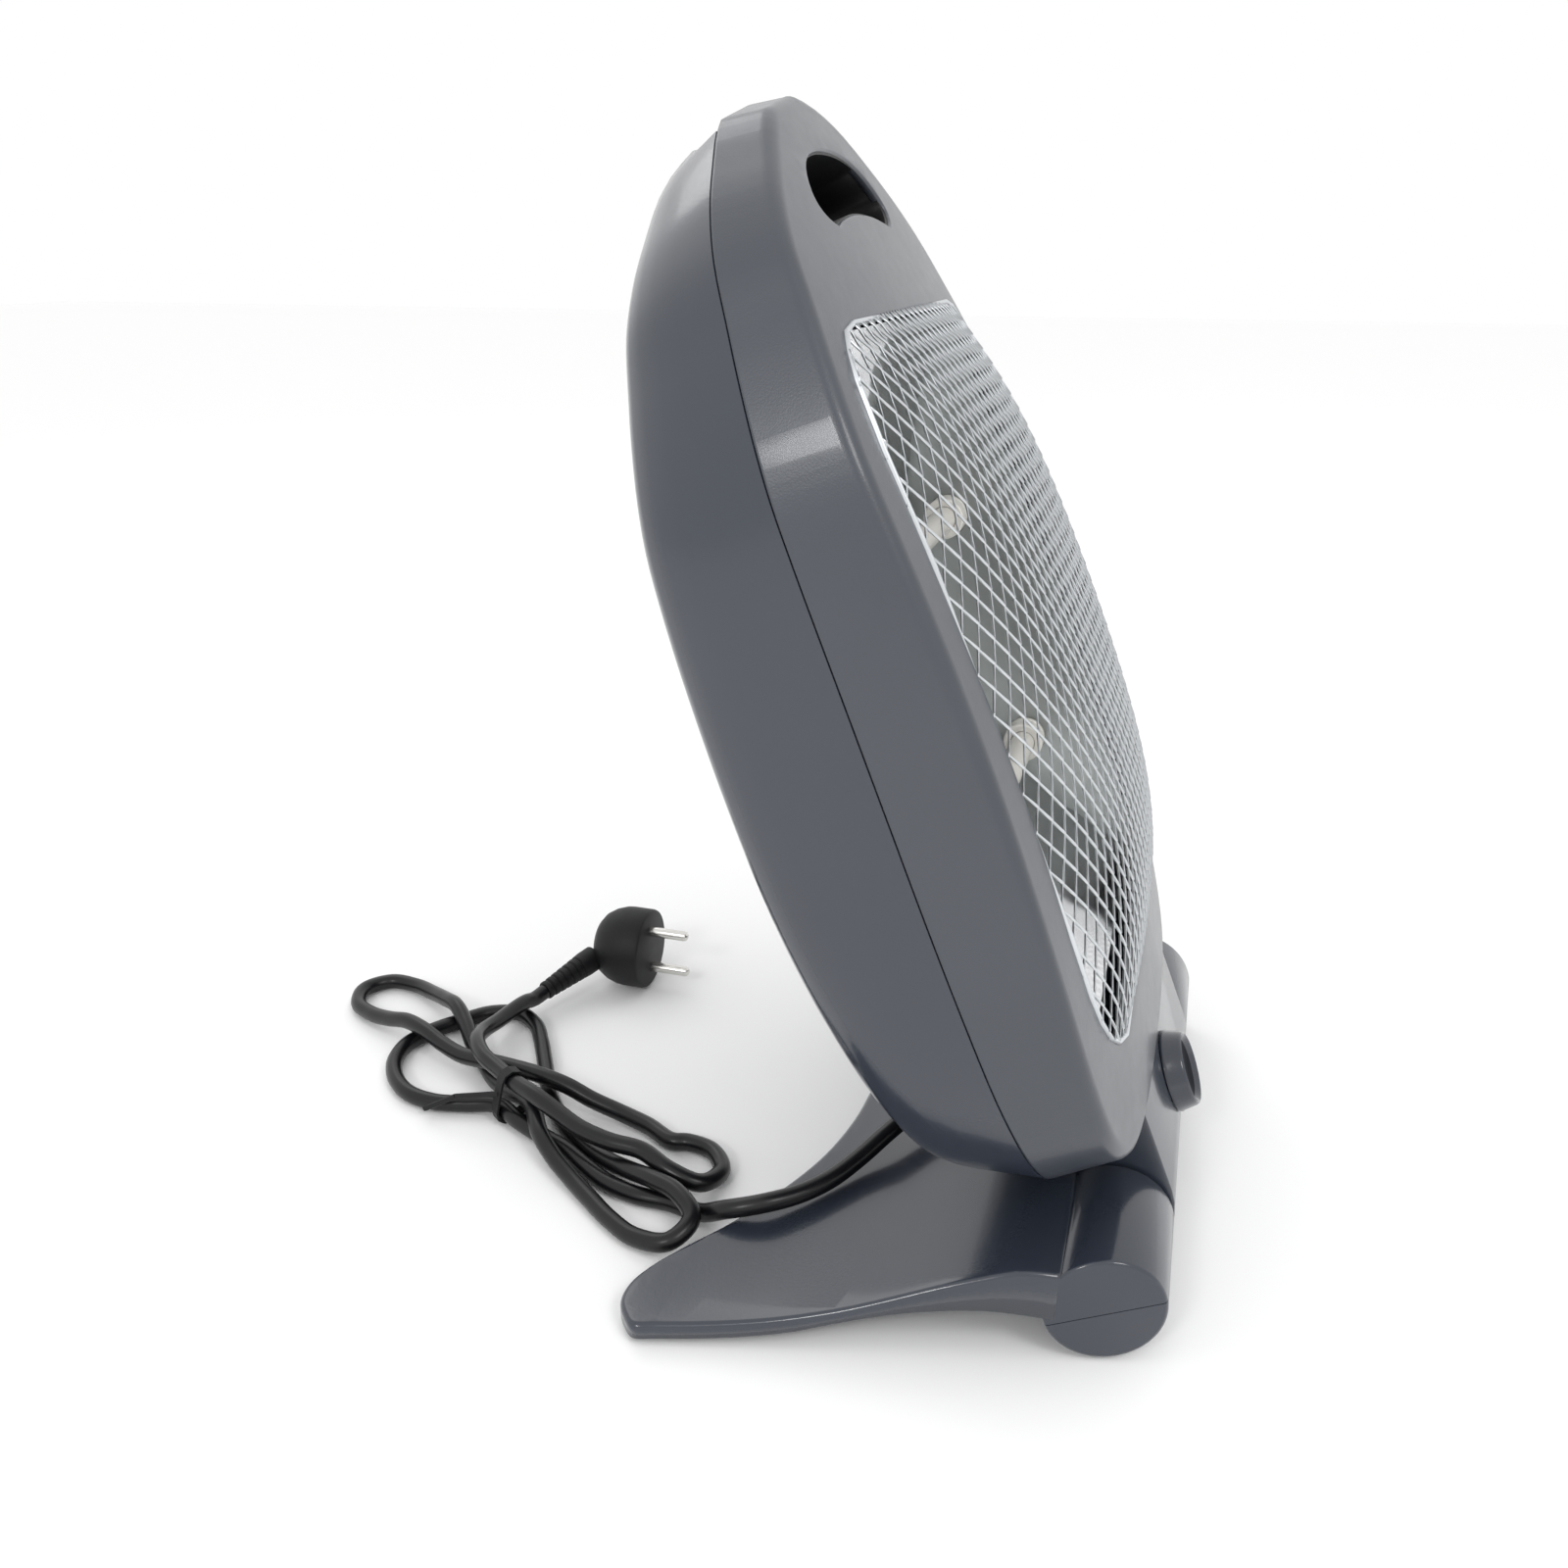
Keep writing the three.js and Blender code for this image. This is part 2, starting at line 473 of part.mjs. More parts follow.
// a sheet of joined diamonds, each with a diamond opening
function diamondSheet() {
  const edge = [-0.5, 0, 0.5, 0].map((x, i) => [x * MESH_WIDE, [0, -0.5, 0, 0.5][i] * MESH_TALL]);
  const open = [1 - (2 * MESH_STRAND) / MESH_WIDE, 1 - (3 * MESH_STRAND) / MESH_TALL];
  const vertices = [];
  const faces = [];
  const sides = new Map();
  const point = (x, z, back) => vertices.push([x, guardAt(x, z) + (back ? GUARD_WALL : 0), z]) - 1;
  const quad = (a, b, c, d) => faces.push(a, b, c, a, c, d);
  for (let row = -1; (row * MESH_TALL) / 2 < WINDOW_TOP - WINDOW_LOW + MESH_TALL; row += 1) {
    const z = WINDOW_LOW + (row * MESH_TALL) / 2;
    const columns = Math.ceil(WINDOW_HALF / MESH_WIDE);
    for (let column = -columns; column <= columns; column += 1) {
      const x = (column + Math.abs(row % 2) / 2) * MESH_WIDE;
      const corner = (k, shareX, shareZ, back) =>
        point(x + edge[k][0] * shareX, z + edge[k][1] * shareZ, back);
      const [front, rear] = [false, true].map((back) => [0, 1, 2, 3].map((k) => corner(k, 1, 1, back)));
      const [holeFront, holeRear] = [false, true].map(
        (back) => [0, 1, 2, 3].map((k) => corner(k, ...open, back)),
      );
      for (let k = 0; k < 4; k += 1) {
        const n = (k + 1) % 4;
        quad(front[k], front[n], holeFront[n], holeFront[k]);
        quad(holeRear[k], holeRear[n], rear[n], rear[k]);
        quad(holeFront[k], holeFront[n], holeRear[n], holeRear[k]);
        const middle = [2 * x + edge[k][0] + edge[n][0], 2 * z + edge[k][1] + edge[n][1]].map(Math.round);
        if (!sides.delete(`${middle}`)) sides.set(`${middle}`, [front[n], front[k], rear[k], rear[n]]);
      }
    }
  }
  sides.forEach((side) => quad(...side));
  const geometry = new THREE.BufferGeometry();
  geometry.setAttribute('position', new THREE.Float32BufferAttribute(vertices.flat(), 3));
  geometry.setIndex(faces);
  return toSolid(geometry);
}

const guardRim = windowOutline(-0.5);
const collar = loft([
  ring(guardRim, (x, z) => faceAt(x, z) - 1),
  ring(guardRim, (x, z) => faceAt(x, z) + GUARD_TUCK),
], [0, faceAt(0, GUARD_MIDDLE) - 1, GUARD_MIDDLE], [0, faceAt(0, GUARD_MIDDLE) + GUARD_TUCK, GUARD_MIDDLE])
  .subtract(sweepY(windowOutline(-0.5 - COLLAR_WALL), -PAST_HEAD, PAST_HEAD));
add(head, 'grille', diamondSheet()
  .intersect(sweepY(windowOutline(-1), -PAST_HEAD, PAST_HEAD)).add(collar), silver);

// ---------------------------------------------------------------- reflector and end plates
const dishY = (z) => DISH_Y - DISH_DEPTH * ((z - DISH_Z) / DISH_HALF) ** 2;
const DISH_STEPS = 14;
const dishLine = (shift, half = DISH_HALF) => Array.from({ length: DISH_STEPS + 1 }, (_, i) => {
  const z = DISH_Z - half + (2 * half * i) / DISH_STEPS;
  return [dishY(z) + shift, z];
});
const dishShape = [...dishLine(0), ...dishLine(SHEET).reverse()];
const headRoom = frontForm(SHELL_WALL + GAP, 60);
add(head, 'reflector', sweepX(dishShape, -CHEEK_X + GAP, CHEEK_X - GAP).intersect(headRoom), bright);

const plateFront = Array.from({ length: 9 }, (_, i) => {
  const z = DISH_Z + DISH_HALF - (2 * DISH_HALF * i) / 8;
  return [Math.min(faceAt(CHEEK_X, z) + GUARD_TUCK + 6 * GAP, dishY(z) - 0.5), z];
});
const plateShape = [...dishLine(SHEET), ...plateFront];
const plateHoles = Object.values(TUBE_Z).map((z) => rodX(CAP_R + GAP, 80, 110, TUBE_Y, z, 16));
const plateForm = sweepX(plateShape, CHEEK_X, CHEEK_X + SHEET).intersect(headRoom);
addPair(head, 'end_plate', cutAll(plateForm, plateHoles), bright);

// ---------------------------------------------------------------- tubes
const tubeEnd = CHEEK_X + TUBE_REACH;
for (const [place, z] of Object.entries(TUBE_Z)) {
  const bore = rodX(TUBE_BORE, -tubeEnd - 1, tubeEnd + 1, TUBE_Y, z, 16);
  add(head, `tube_${place}`, rodX(TUBE_R, -tubeEnd, tubeEnd, TUBE_Y, z, 16).subtract(bore), quartz);
  add(head, `coil_${place}`, rodX(COIL_R, -tubeEnd, tubeEnd, TUBE_Y, z, 10), wire);
  const capEnd = tubeEnd + GAP + CAP_WALL;
  const cap = rodX(CAP_R, capEnd - CAP_LENGTH, capEnd, TUBE_Y, z, 16)
    .subtract(rodX(TUBE_R + GAP, capEnd - CAP_LENGTH - 1, tubeEnd + GAP, TUBE_Y, z, 16));
  addPair(head, `cap_${place}`, cap, ceramic);
}

// ---------------------------------------------------------------- switch, cutout and terminals
const switchFront = -NECK_Y + SHELL_WALL + GAP;
add(head, 'rotary_switch', block(-SWITCH_HALF, SWITCH_HALF, switchFront, switchFront + SWITCH_DEEP,
  KNOB_Z - 7, KNOB_Z + SWITCH_HALF), cream);
const cutoutY = DISH_Y + SHEET + GAP;
add(head, 'thermal_cutout', rodY(CUTOUT_R, cutoutY, cutoutY + 8, 0, DISH_Z, 20), black);
add(head, 'terminal_block', block(-18, 18, DISH_Y + 1, 60, HEAD_LOW + 33, HEAD_LOW + 45)
  .intersect(rearForm(SHELL_WALL + GAP, REAR_Y)), cream);
add(head, 'cord_gland', bar(GLAND_R, GLAND_TIP_R, GLAND_START, GLAND_END, 20), black);

// ---------------------------------------------------------------- knob
const knobBack = -NECK_Y - GAP;
const knobFace = knobBack - KNOB_LENGTH;
const shaftTip = knobBack - SHAFT_GRIP;
const knobBody = bar(KNOB_R, KNOB_FACE_R, [0, knobBack, KNOB_Z], [0, knobFace, KNOB_Z], 36);
const dish = rodY(KNOB_FACE_R - KNOB_RIM, knobFace - 1, knobFace + KNOB_DISH, 0, KNOB_Z, 32);
const grip = block(-GRIP_WIDE / 2, GRIP_WIDE / 2, knobFace + 0.6, knobFace + KNOB_DISH + 0.5,
  KNOB_Z - KNOB_FACE_R + 1, KNOB_Z + KNOB_FACE_R - 1);
add(head, 'control_knob', knobBody.subtract(dish).add(grip)
  .subtract(rodY(SHAFT_R + GAP, shaftTip - GAP, knobBack + 1, 0, KNOB_Z, 16)), slate);
add(head, 'switch_shaft', rodY(SHAFT_R, shaftTip, switchFront - GAP, 0, KNOB_Z, 16), cream);

// ---------------------------------------------------------------- foot
const BARREL_IN = SADDLE_HALF + WASHER + 2 * GAP;
const HOLLOW_IN = BARREL_IN + 3;
const sideX = (y, t = 0) => CAP_X + SPLAY * y - t;
const FOOT_FRONT = -30;

// right half of the crescent, seen from above, thinned by t
function footPlan(t, innerX) {
  return [
    [innerX, FOOT_FRONT], [sideX(FOOT_FRONT, t), FOOT_FRONT], [sideX(140, t), 140],
    [sideX(147, t * 1.1), 147 - t * 0.3], [146 - t * 0.7, 152 - t * 0.7], [140, 155.5 - t],
    [132, 155.8 - t], [122 + t * 0.4, 152 - t], [110 + t * 0.4, 144.5 - t], [93 + t * 0.3, 132.5 - t],
    [70 + t * 0.3, 119.5 - t], [48 + t * 0.2, 110 - t], [24, 104.5 - t], [innerX, 102 - t],
  ];
}

// the plate from the side: it slopes down to the legs' tips, with an arch under it
const plateTop = [
  [14, 33], [27, 34.5], [39, 31.5], [53, 27], [68, 21.5], [83, 16.5], [105, 11.5], [130, 8.8], [158, 8],
];
const plateLow = [
  [158, PAD_H], [140, 2.8], [120, 4], [99, 7], [80, 12.5], [66, 16], [53, 18], [38, 19], [26, 18], [14, 16],
];
const plateHollow = [
  [17, 29.5], [27, 31.5], [39, 28.5], [53, 24], [68, 18.6], [83, 13.7], [105, 8.8], [130, 6], [155, 5.2],
  [155, -5], [17, -5],
];
const seamAt = (y) => SEAM_Z - SEAM_RISE * y;
const aboveSeam = sweepX([[-40, seamAt(-40)], [40, seamAt(40)], [40, 80], [-40, 80]], 0, 160);
const belowSeam = sweepX(
  [[-40, -5], [40, -5], [40, seamAt(40) - GAP], [-40, seamAt(-40) - GAP]], 0, 160,
);
const barrelForm = rodX(BARREL_R, BARREL_IN, 140, 0, AXIS_Z, 36).intersect(sweepZ(footPlan(0, 0), -5, 60));
const barrelHollow = rodX(BARREL_R - FOOT_WALL, HOLLOW_IN, 140, 0, AXIS_Z, 32)
  .intersect(sweepZ(footPlan(FOOT_WALL, 0), -5, 60));
const rodHole = rodX(ROD_R + ROD_PLAY, 0, HOLLOW_IN + 1, 0, AXIS_Z, 20);
const barrel = barrelForm.subtract(barrelHollow).subtract(rodHole);
const screwPost = rodZ(4.5, 2, AXIS_Z + BARREL_R - 1, BASE_SCREW_X, 0, 14);
const screwHole = rodZ(SCREW_R + GAP, -5, AXIS_Z + 8, BASE_SCREW_X, 0, 12);
const screwSink = rodZ(SCREW_HEAD_R + GAP, -5, 7, BASE_SCREW_X, 0, 14);

// the neck swings between the barrels, so the plate starts behind its path
const swingRoom = sweepX(
  [[-30, -8], [14.5, -8], [16.5, 4], [36, 43], [36, 60], [-30, 60]], -BARREL_IN - 0.5, BARREL_IN + 0.5,
);
const footPlate = sweepX([...plateLow.slice().reverse(), ...plateTop.slice().reverse()], 0, 160)
  .intersect(sweepZ(footPlan(0, 0), -5, 60));
const plateInside = sweepX(plateHollow, -1, 160).intersect(sweepZ(footPlan(FOOT_WALL, -1), -5, 60));
const legPost = rodZ(PAD_R + 1, PAD_H, 7, LEG_X, LEG_Y, 16);
const ribFront = block(0, BARREL_IN - 1, 33, 36, 18, 31).intersect(footPlate);
const topHalf = joinAll(footPlate.subtract(plateInside), [legPost.intersect(footPlate), ribFront])
  .subtract(swingRoom)
  .subtract(rodX(BARREL_R - 1, BARREL_IN, 140, 0, AXIS_Z, 36))
  .add(barrel.add(screwPost.intersect(barrelForm)).intersect(aboveSeam))
  .subtract(belowSeam.intersect(rodX(BARREL_R + GAP, 0, 160, 0, AXIS_Z, 36)))
  .subtract(screwHole);
const leftHalf = topHalf.mirror([1, 0, 0]);
add(foot, 'base_top_shell', topHalf.add(leftHalf), slate);
addPair(foot, 'base_bottom', barrel.add(screwPost.intersect(barrelForm)).intersect(belowSeam)
  .subtract(screwHole).subtract(screwSink), slate);

const nutIn = HOLLOW_IN + GAP;
add(foot, 'hinge_rod', rodX(ROD_R, -nutIn - NUT_LENGTH + 1, nutIn + NUT_LENGTH - 1, 0, AXIS_Z, 20), steel);
addPair(foot, 'rod_nut', rodX(NUT_R, nutIn, nutIn + NUT_LENGTH, 0, AXIS_Z, 6)
  .subtract(rodX(ROD_R + GAP, 0, nutIn + NUT_LENGTH - 1 + GAP, 0, AXIS_Z, 20)), steel);
addPair(foot, 'friction_washer', rodX(WASHER_R, SADDLE_HALF + GAP, SADDLE_HALF + GAP + WASHER, 0, AXIS_Z, 20)
  .subtract(rodX(ROD_R + ROD_PLAY, 0, 90, 0, AXIS_Z, 12)), rubber);
addPair(foot, 'base_screw', rodZ(SCREW_R, 7 + GAP - 1, AXIS_Z + 7.5, BASE_SCREW_X, 0, 10)
  .add(rodZ(SCREW_HEAD_R, 7 - 2.6, 7 - GAP, BASE_SCREW_X, 0, 14)), steel);
addPair(foot, 'pad_rear', rodZ(PAD_R, 0, PAD_H - GAP, LEG_X, LEG_Y, 20), rubber);
addPair(foot, 'pad_front', block(76, 88, -8, 8, 0, 3)
  .subtract(rodX(BARREL_R + GAP, 0, 140, 0, AXIS_Z, 36)), rubber);

// ---------------------------------------------------------------- cord, tie and plug
const route = new THREE.CatmullRomCurve3(
  CORD_ROUTE.map((p) => new THREE.Vector3(...p)), false, 'centripetal',
);
route.arcLengthDivisions = 1200;
const CORD_LENGTH = route.getLength();
const steps = Math.round(CORD_LENGTH / CORD_STEP);
const split = Math.round((HANK_FROM / CORD_LENGTH) * steps);
const frames = route.computeFrenetFrames(steps);

// the stretch of the cord between two steps, starting a little later to clear what it meets
function cordTube(first, last, clear, sides) {
  const middles = [];
  const rings = [];
  for (let i = first; i <= last; i += 1) {
    const middle = route.getPointAt(i / steps);
    if (i === first) middle.addScaledVector(frames.tangents[i], clear);
    middles.push(middle.toArray());
    rings.push(Array.from({ length: sides }, (_, k) => {
      const turn = (2 * Math.PI * (k + 0.5)) / sides;
      return middle.clone().addScaledVector(frames.normals[i], CORD_R * Math.cos(turn))
        .addScaledVector(frames.binormals[i], CORD_R * Math.sin(turn)).toArray();
    }));
  }
  return loft(rings, middles[0], middles[middles.length - 1]);
}

const hankPoints = Array.from({ length: 600 }, (_, i) =>
  route.getPointAt((split + ((steps - split) * i) / 599) / steps));
const apart = (5 * CORD_R * 600) / (CORD_LENGTH - HANK_FROM);
let selfGap = Infinity;
hankPoints.forEach((a, i) => hankPoints.slice(i + Math.ceil(apart)).forEach((b) => {
  selfGap = Math.min(selfGap, a.distanceTo(b) - 2 * CORD_R);
}));
console.log(`cord ${CORD_LENGTH.toFixed(0)} mm, least gap of the hank to itself ${selfGap.toFixed(2)} mm`);

// the tie goes round three strands, in a frame turned along them
const tieSpot = new THREE.Group();
tieSpot.position.set(...TIE_SPOT, 0);
tieSpot.rotation.z = -THREE.MathUtils.degToRad(TIE_TURN);
cord.add(tieSpot);
const tieBand = sweepY(inset(TIE_OUTLINE, -TIE_WALL), -TIE_WIDE / 2, TIE_WIDE / 2)
  .subtract(sweepY(TIE_OUTLINE, -TIE_WIDE, TIE_WIDE));
add(tieSpot, 'cord_tie', TIE_TAIL.slice(1).reduce(
  (sum, end, i) => sum.add(bar(TIE_TAIL_R, TIE_TAIL_R, TIE_TAIL[i], end, 8)), tieBand,
), black);

add(cord, 'cord_run', cordTube(0, split, 0, 8), black);
add(cord, 'cord_hank', cordTube(split, steps, GAP, 6), black);

const plugForm = (grow) => rodY(PLUG_R + grow, PLUG.front - grow, PLUG.rim, PLUG.x, PLUG.z, 28)
  .add(bar(PLUG_R + grow, PLUG_BACK_R + grow, [PLUG.x, PLUG.rim, PLUG.z],
    [PLUG.x, PLUG.back + grow, PLUG.z], 28));
add(cord, 'plug_relief', bar(CORD_R + 0.8, 6, RELIEF_START, RELIEF_END, 12).subtract(plugForm(GAP)), black);
add(cord, 'plug_body', plugForm(0), black);
for (const [place, side] of [['upper', 1], ['lower', -1]]) {
  add(cord, `plug_pin_${place}`, rodY(PIN_R, PLUG.front - GAP - PIN_LENGTH, PLUG.front - GAP,
    PLUG.x, PLUG.z + (side * PIN_PITCH) / 2, 12), steel);
}

// ---------------------------------------------------------------- origin under the middle of foot and head
const stand = new THREE.Box3();
heater.updateMatrixWorld(true);
for (const group of [foot, head]) stand.expandByObject(group, true);
heater.children.forEach((group) => { group.position.y -= (stand.min.y + stand.max.y) / 2; });

export default heater;
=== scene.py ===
# %% [markdown]
# A small quartz heater with a bright reflector, dressed over its imported CAD frame. The first
# lines load that frame: every CAD node becomes an object in metres, and a new piece goes where
# the CAD says.

# %% Load the frame
import bmesh
import bpy
import math
from mathutils import Matrix, Vector


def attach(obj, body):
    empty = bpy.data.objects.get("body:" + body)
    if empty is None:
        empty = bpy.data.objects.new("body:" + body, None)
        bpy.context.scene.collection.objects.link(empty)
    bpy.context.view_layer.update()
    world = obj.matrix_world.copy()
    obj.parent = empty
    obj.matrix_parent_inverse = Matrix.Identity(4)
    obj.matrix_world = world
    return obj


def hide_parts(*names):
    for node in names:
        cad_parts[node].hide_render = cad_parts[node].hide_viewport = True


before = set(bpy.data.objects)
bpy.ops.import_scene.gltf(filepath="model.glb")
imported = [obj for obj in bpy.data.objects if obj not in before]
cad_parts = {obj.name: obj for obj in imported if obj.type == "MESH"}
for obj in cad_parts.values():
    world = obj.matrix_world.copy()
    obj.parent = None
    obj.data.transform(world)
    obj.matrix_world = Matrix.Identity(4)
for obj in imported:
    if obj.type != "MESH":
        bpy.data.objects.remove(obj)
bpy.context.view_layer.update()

# %% [markdown]
# Sizes are written in millimetres, as a maker's drawing has them: x runs across, y from front to
# back and z up. Two matrices turn them into the frame's metres. FOOT only shifts and shrinks.
# HEAD also leans the head back round the hinge axis, so that its pieces can be drawn upright.

# %% Places
MM = 0.001
SHIFT = -74.93  # where the hinge axis, y = 0 in the drawing, lies in the frame
AXIS_Z = 20.4  # height of the hinge axis
LEAN = math.radians(22.3)
FOOT = Matrix.Translation((0, SHIFT * MM, 0)) @ Matrix.Scale(MM, 4)
HEAD = (Matrix.Translation((0, SHIFT * MM, AXIS_Z * MM)) @ Matrix.Rotation(-LEAN, 4, "X")
        @ Matrix.Scale(MM, 4))
print("hinge axis at", HEAD.translation)

# %% [markdown]
# The camera stands to the left of the heater and looks slightly down, with a 31.5 mm lens. Its
# place comes from the photograph's vanishing points. It is made first, because the cord has to
# stay within its view.

# %% Camera
camera = bpy.data.objects.new("camera", bpy.data.cameras.new("camera"))
camera.data.lens = 31.5
camera.data.sensor_width = 36
camera.location = Vector((-470.2, -2.7 + SHIFT, 338.0)) * MM
camera.rotation_euler = (math.radians(68.18), 0, math.radians(-73.0))
bpy.context.collection.objects.link(camera)
bpy.context.scene.camera = camera
print("camera at", camera.location)

# %% [markdown]
# Finishes are node materials. Wire wraps one socket, so that shader maths can be written as a
# Python expression, and Finish makes every other node with one method. What is the same all over
# a surface is set on the shader itself; what varies feeds only colour, roughness or the bump.

# %% Shader helpers
MIX_FACTOR, MIX_FIRST, MIX_SECOND, MIX_RESULT = 0, 6, 7, 2  # a Mix node's sockets for colours


class Wire:
    def __init__(self, finish, socket):
        self.finish, self.socket = finish, socket

    def maths(self, operation, first, second):
        return self.finish.node("ShaderNodeMath", {"operation": operation}, {0: first, 1: second})

    def __add__(self, other):
        return self.maths("ADD", self, other)

    def __sub__(self, other):
        return self.maths("SUBTRACT", self, other)

    def __rsub__(self, other):
        return self.maths("SUBTRACT", other, self)

    def __mul__(self, other):
        return self.maths("MULTIPLY", self, other)

    __radd__ = __add__
    __rmul__ = __mul__


class Finish:
    names = []

    def __init__(self, name, **sockets):
        self.names.append(name)
        self.material = bpy.data.materials.new(name)
        self.material.use_nodes = True
        self.tree = self.material.node_tree
        self.shader = self.tree.nodes["Principled BSDF"]
        for socket, value in sockets.items():
            self.shader.inputs[socket.replace("_", " ")].default_value = value
        self.place = self.node("ShaderNodeTexCoord", {}, {}, output="Object")

    def node(self, kind, settings, values, output=0):
        made = self.tree.nodes.new(kind)
        for key, value in settings.items():
            setattr(made, key, value)
        for key, value in values.items():
            if isinstance(value, Wire):
                self.tree.links.new(value.socket, made.inputs[key])
            else:
                made.inputs[key].default_value = value
        return Wire(self, made.outputs[output])

    def noise(self, scale, detail, place=None):
        return self.node("ShaderNodeTexNoise", {}, {
            "Vector": place or self.place, "Scale": scale, "Detail": detail})

    def blend(self, mask, low, high):
        return self.node("ShaderNodeMix", {"data_type": "RGBA"}, {
            MIX_FACTOR: mask, MIX_FIRST: (*low, 1), MIX_SECOND: (*high, 1)}, output=MIX_RESULT)

    def feed(self, socket, wire):
        self.tree.links.new(wire.socket, self.shader.inputs[socket])

    def bump(self, height, distance):
        self.feed("Normal", self.node("ShaderNodeBump", {}, {
            "Strength": 1.0, "Distance": distance, "Height": height}))


def tinted(colour, factor):
    return [min(1, c * factor) for c in colour]


# %% [markdown]
# The shells are injection-moulded plastic. Such a surface is never quite even: its gloss drifts
# over a few centimetres, and a fine orange peel breaks up the reflections. The face is a little
# paler and more satin than the sides and the foot. Rubber, ceramic and the milky quartz of the
# tubes are made in the same way, with other numbers.

# %% Moulded plastics
DRIFT, DUST = 22, 180  # scales of the slow and the fine change of gloss


def plastic(name, colour, rough, grain, depth, coat=0.0, shine=0.5):
    finish = Finish(name, Roughness=rough, Coat_Weight=coat, Coat_Roughness=0.1, Specular_IOR_Level=shine)
    drift = finish.noise(DRIFT, 3.0)
    finish.feed("Base Color", finish.blend(drift, tinted(colour, 0.92), tinted(colour, 1.08)))
    dust = finish.noise(DUST, 5.0)
    finish.feed("Roughness", (drift - 0.5) * 0.12 + (dust - 0.5) * 0.08 + rough)
    finish.bump(finish.noise(grain, 4.0), depth)
    return finish.material


gloss_slate = plastic("gloss_slate", (0.026, 0.032, 0.046), 0.22, 900, 0.00004, coat=0.5)
satin_slate = plastic("satin_slate", (0.048, 0.054, 0.067), 0.34, 1800, 0.00006, coat=0.25)
dark_slate = plastic("dark_slate", (0.008, 0.010, 0.015), 0.4, 900, 0.00004, shine=0.2)
black_plastic = plastic("black_plastic", (0.006, 0.006, 0.007), 0.42, 1500, 0.00006, shine=0.3)
cord_pvc = plastic("cord_pvc", (0.004, 0.004, 0.005), 0.3, 1500, 0.00003, shine=0.4)
cream_plastic = plastic("cream_plastic", (0.62, 0.57, 0.46), 0.5, 1200, 0.00005)
black_rubber = plastic("black_rubber", (0.006, 0.006, 0.007), 0.5, 2600, 0.00009, shine=0.3)
white_ceramic = plastic("white_ceramic", (0.82, 0.80, 0.75), 0.38, 700, 0.00005, coat=0.2)
milky_quartz = plastic("milky_quartz", (0.74, 0.72, 0.67), 0.2, 300, 0.00003, coat=0.3)
print("plastics made:", len(Finish.names))

# %% [markdown]
# Metals take their colour from what they reflect. Rolled sheet has fine lines along one
# direction, so the noise that drives roughness and bump is stretched with a Mapping node.

# %% Metals
BRUSH, CLOUD = 300, 30  # scales of the fine lines and of the slow change of tone


def metal(name, colour, rough, stretch, depth):
    finish = Finish(name, Metallic=1.0, Roughness=rough)
    lines = finish.node("ShaderNodeMapping", {}, {"Vector": finish.place, "Scale": stretch})
    brush = finish.noise(BRUSH, 4.0, lines)
    cloud = finish.noise(CLOUD, 3.0)
    finish.feed("Base Color", finish.blend(cloud, tinted(colour, 0.93), tinted(colour, 1.05)))
    finish.feed("Roughness", (brush - 0.5) * 0.16 + (cloud - 0.5) * 0.1 + rough)
    finish.bump(brush, depth)
    return finish.material


mirror_sheet = metal("mirror_sheet", (0.86, 0.87, 0.88), 0.16, (0.06, 1, 1), 0.00003)
silver_mesh = metal("silver_mesh", (0.66, 0.68, 0.70), 0.36, (1, 1, 1), 0.00005)
zinc_steel = metal("zinc_steel", (0.60, 0.61, 0.62), 0.34, (1, 1, 1), 0.00003)
galvanised = metal("galvanised", (0.40, 0.42, 0.41), 0.4, (1, 1, 1), 0.00003)
nickel = metal("nickel", (0.70, 0.69, 0.66), 0.2, (1, 1, 0.2), 0.00002)
heating_wire = metal("heating_wire", (0.32, 0.30, 0.28), 0.5, (1, 1, 1), 0.00004)
print("finishes made:", ", ".join(Finish.names))

# %% [markdown]
# The cord is one length of round 7 mm cable. Its route is a list of points that a smooth curve
# passes through: out of the gland, over the foot, down to the floor, through loops held by a
# tie, and up to the plug. The curve is made round by its bevel depth, so it stays editable.

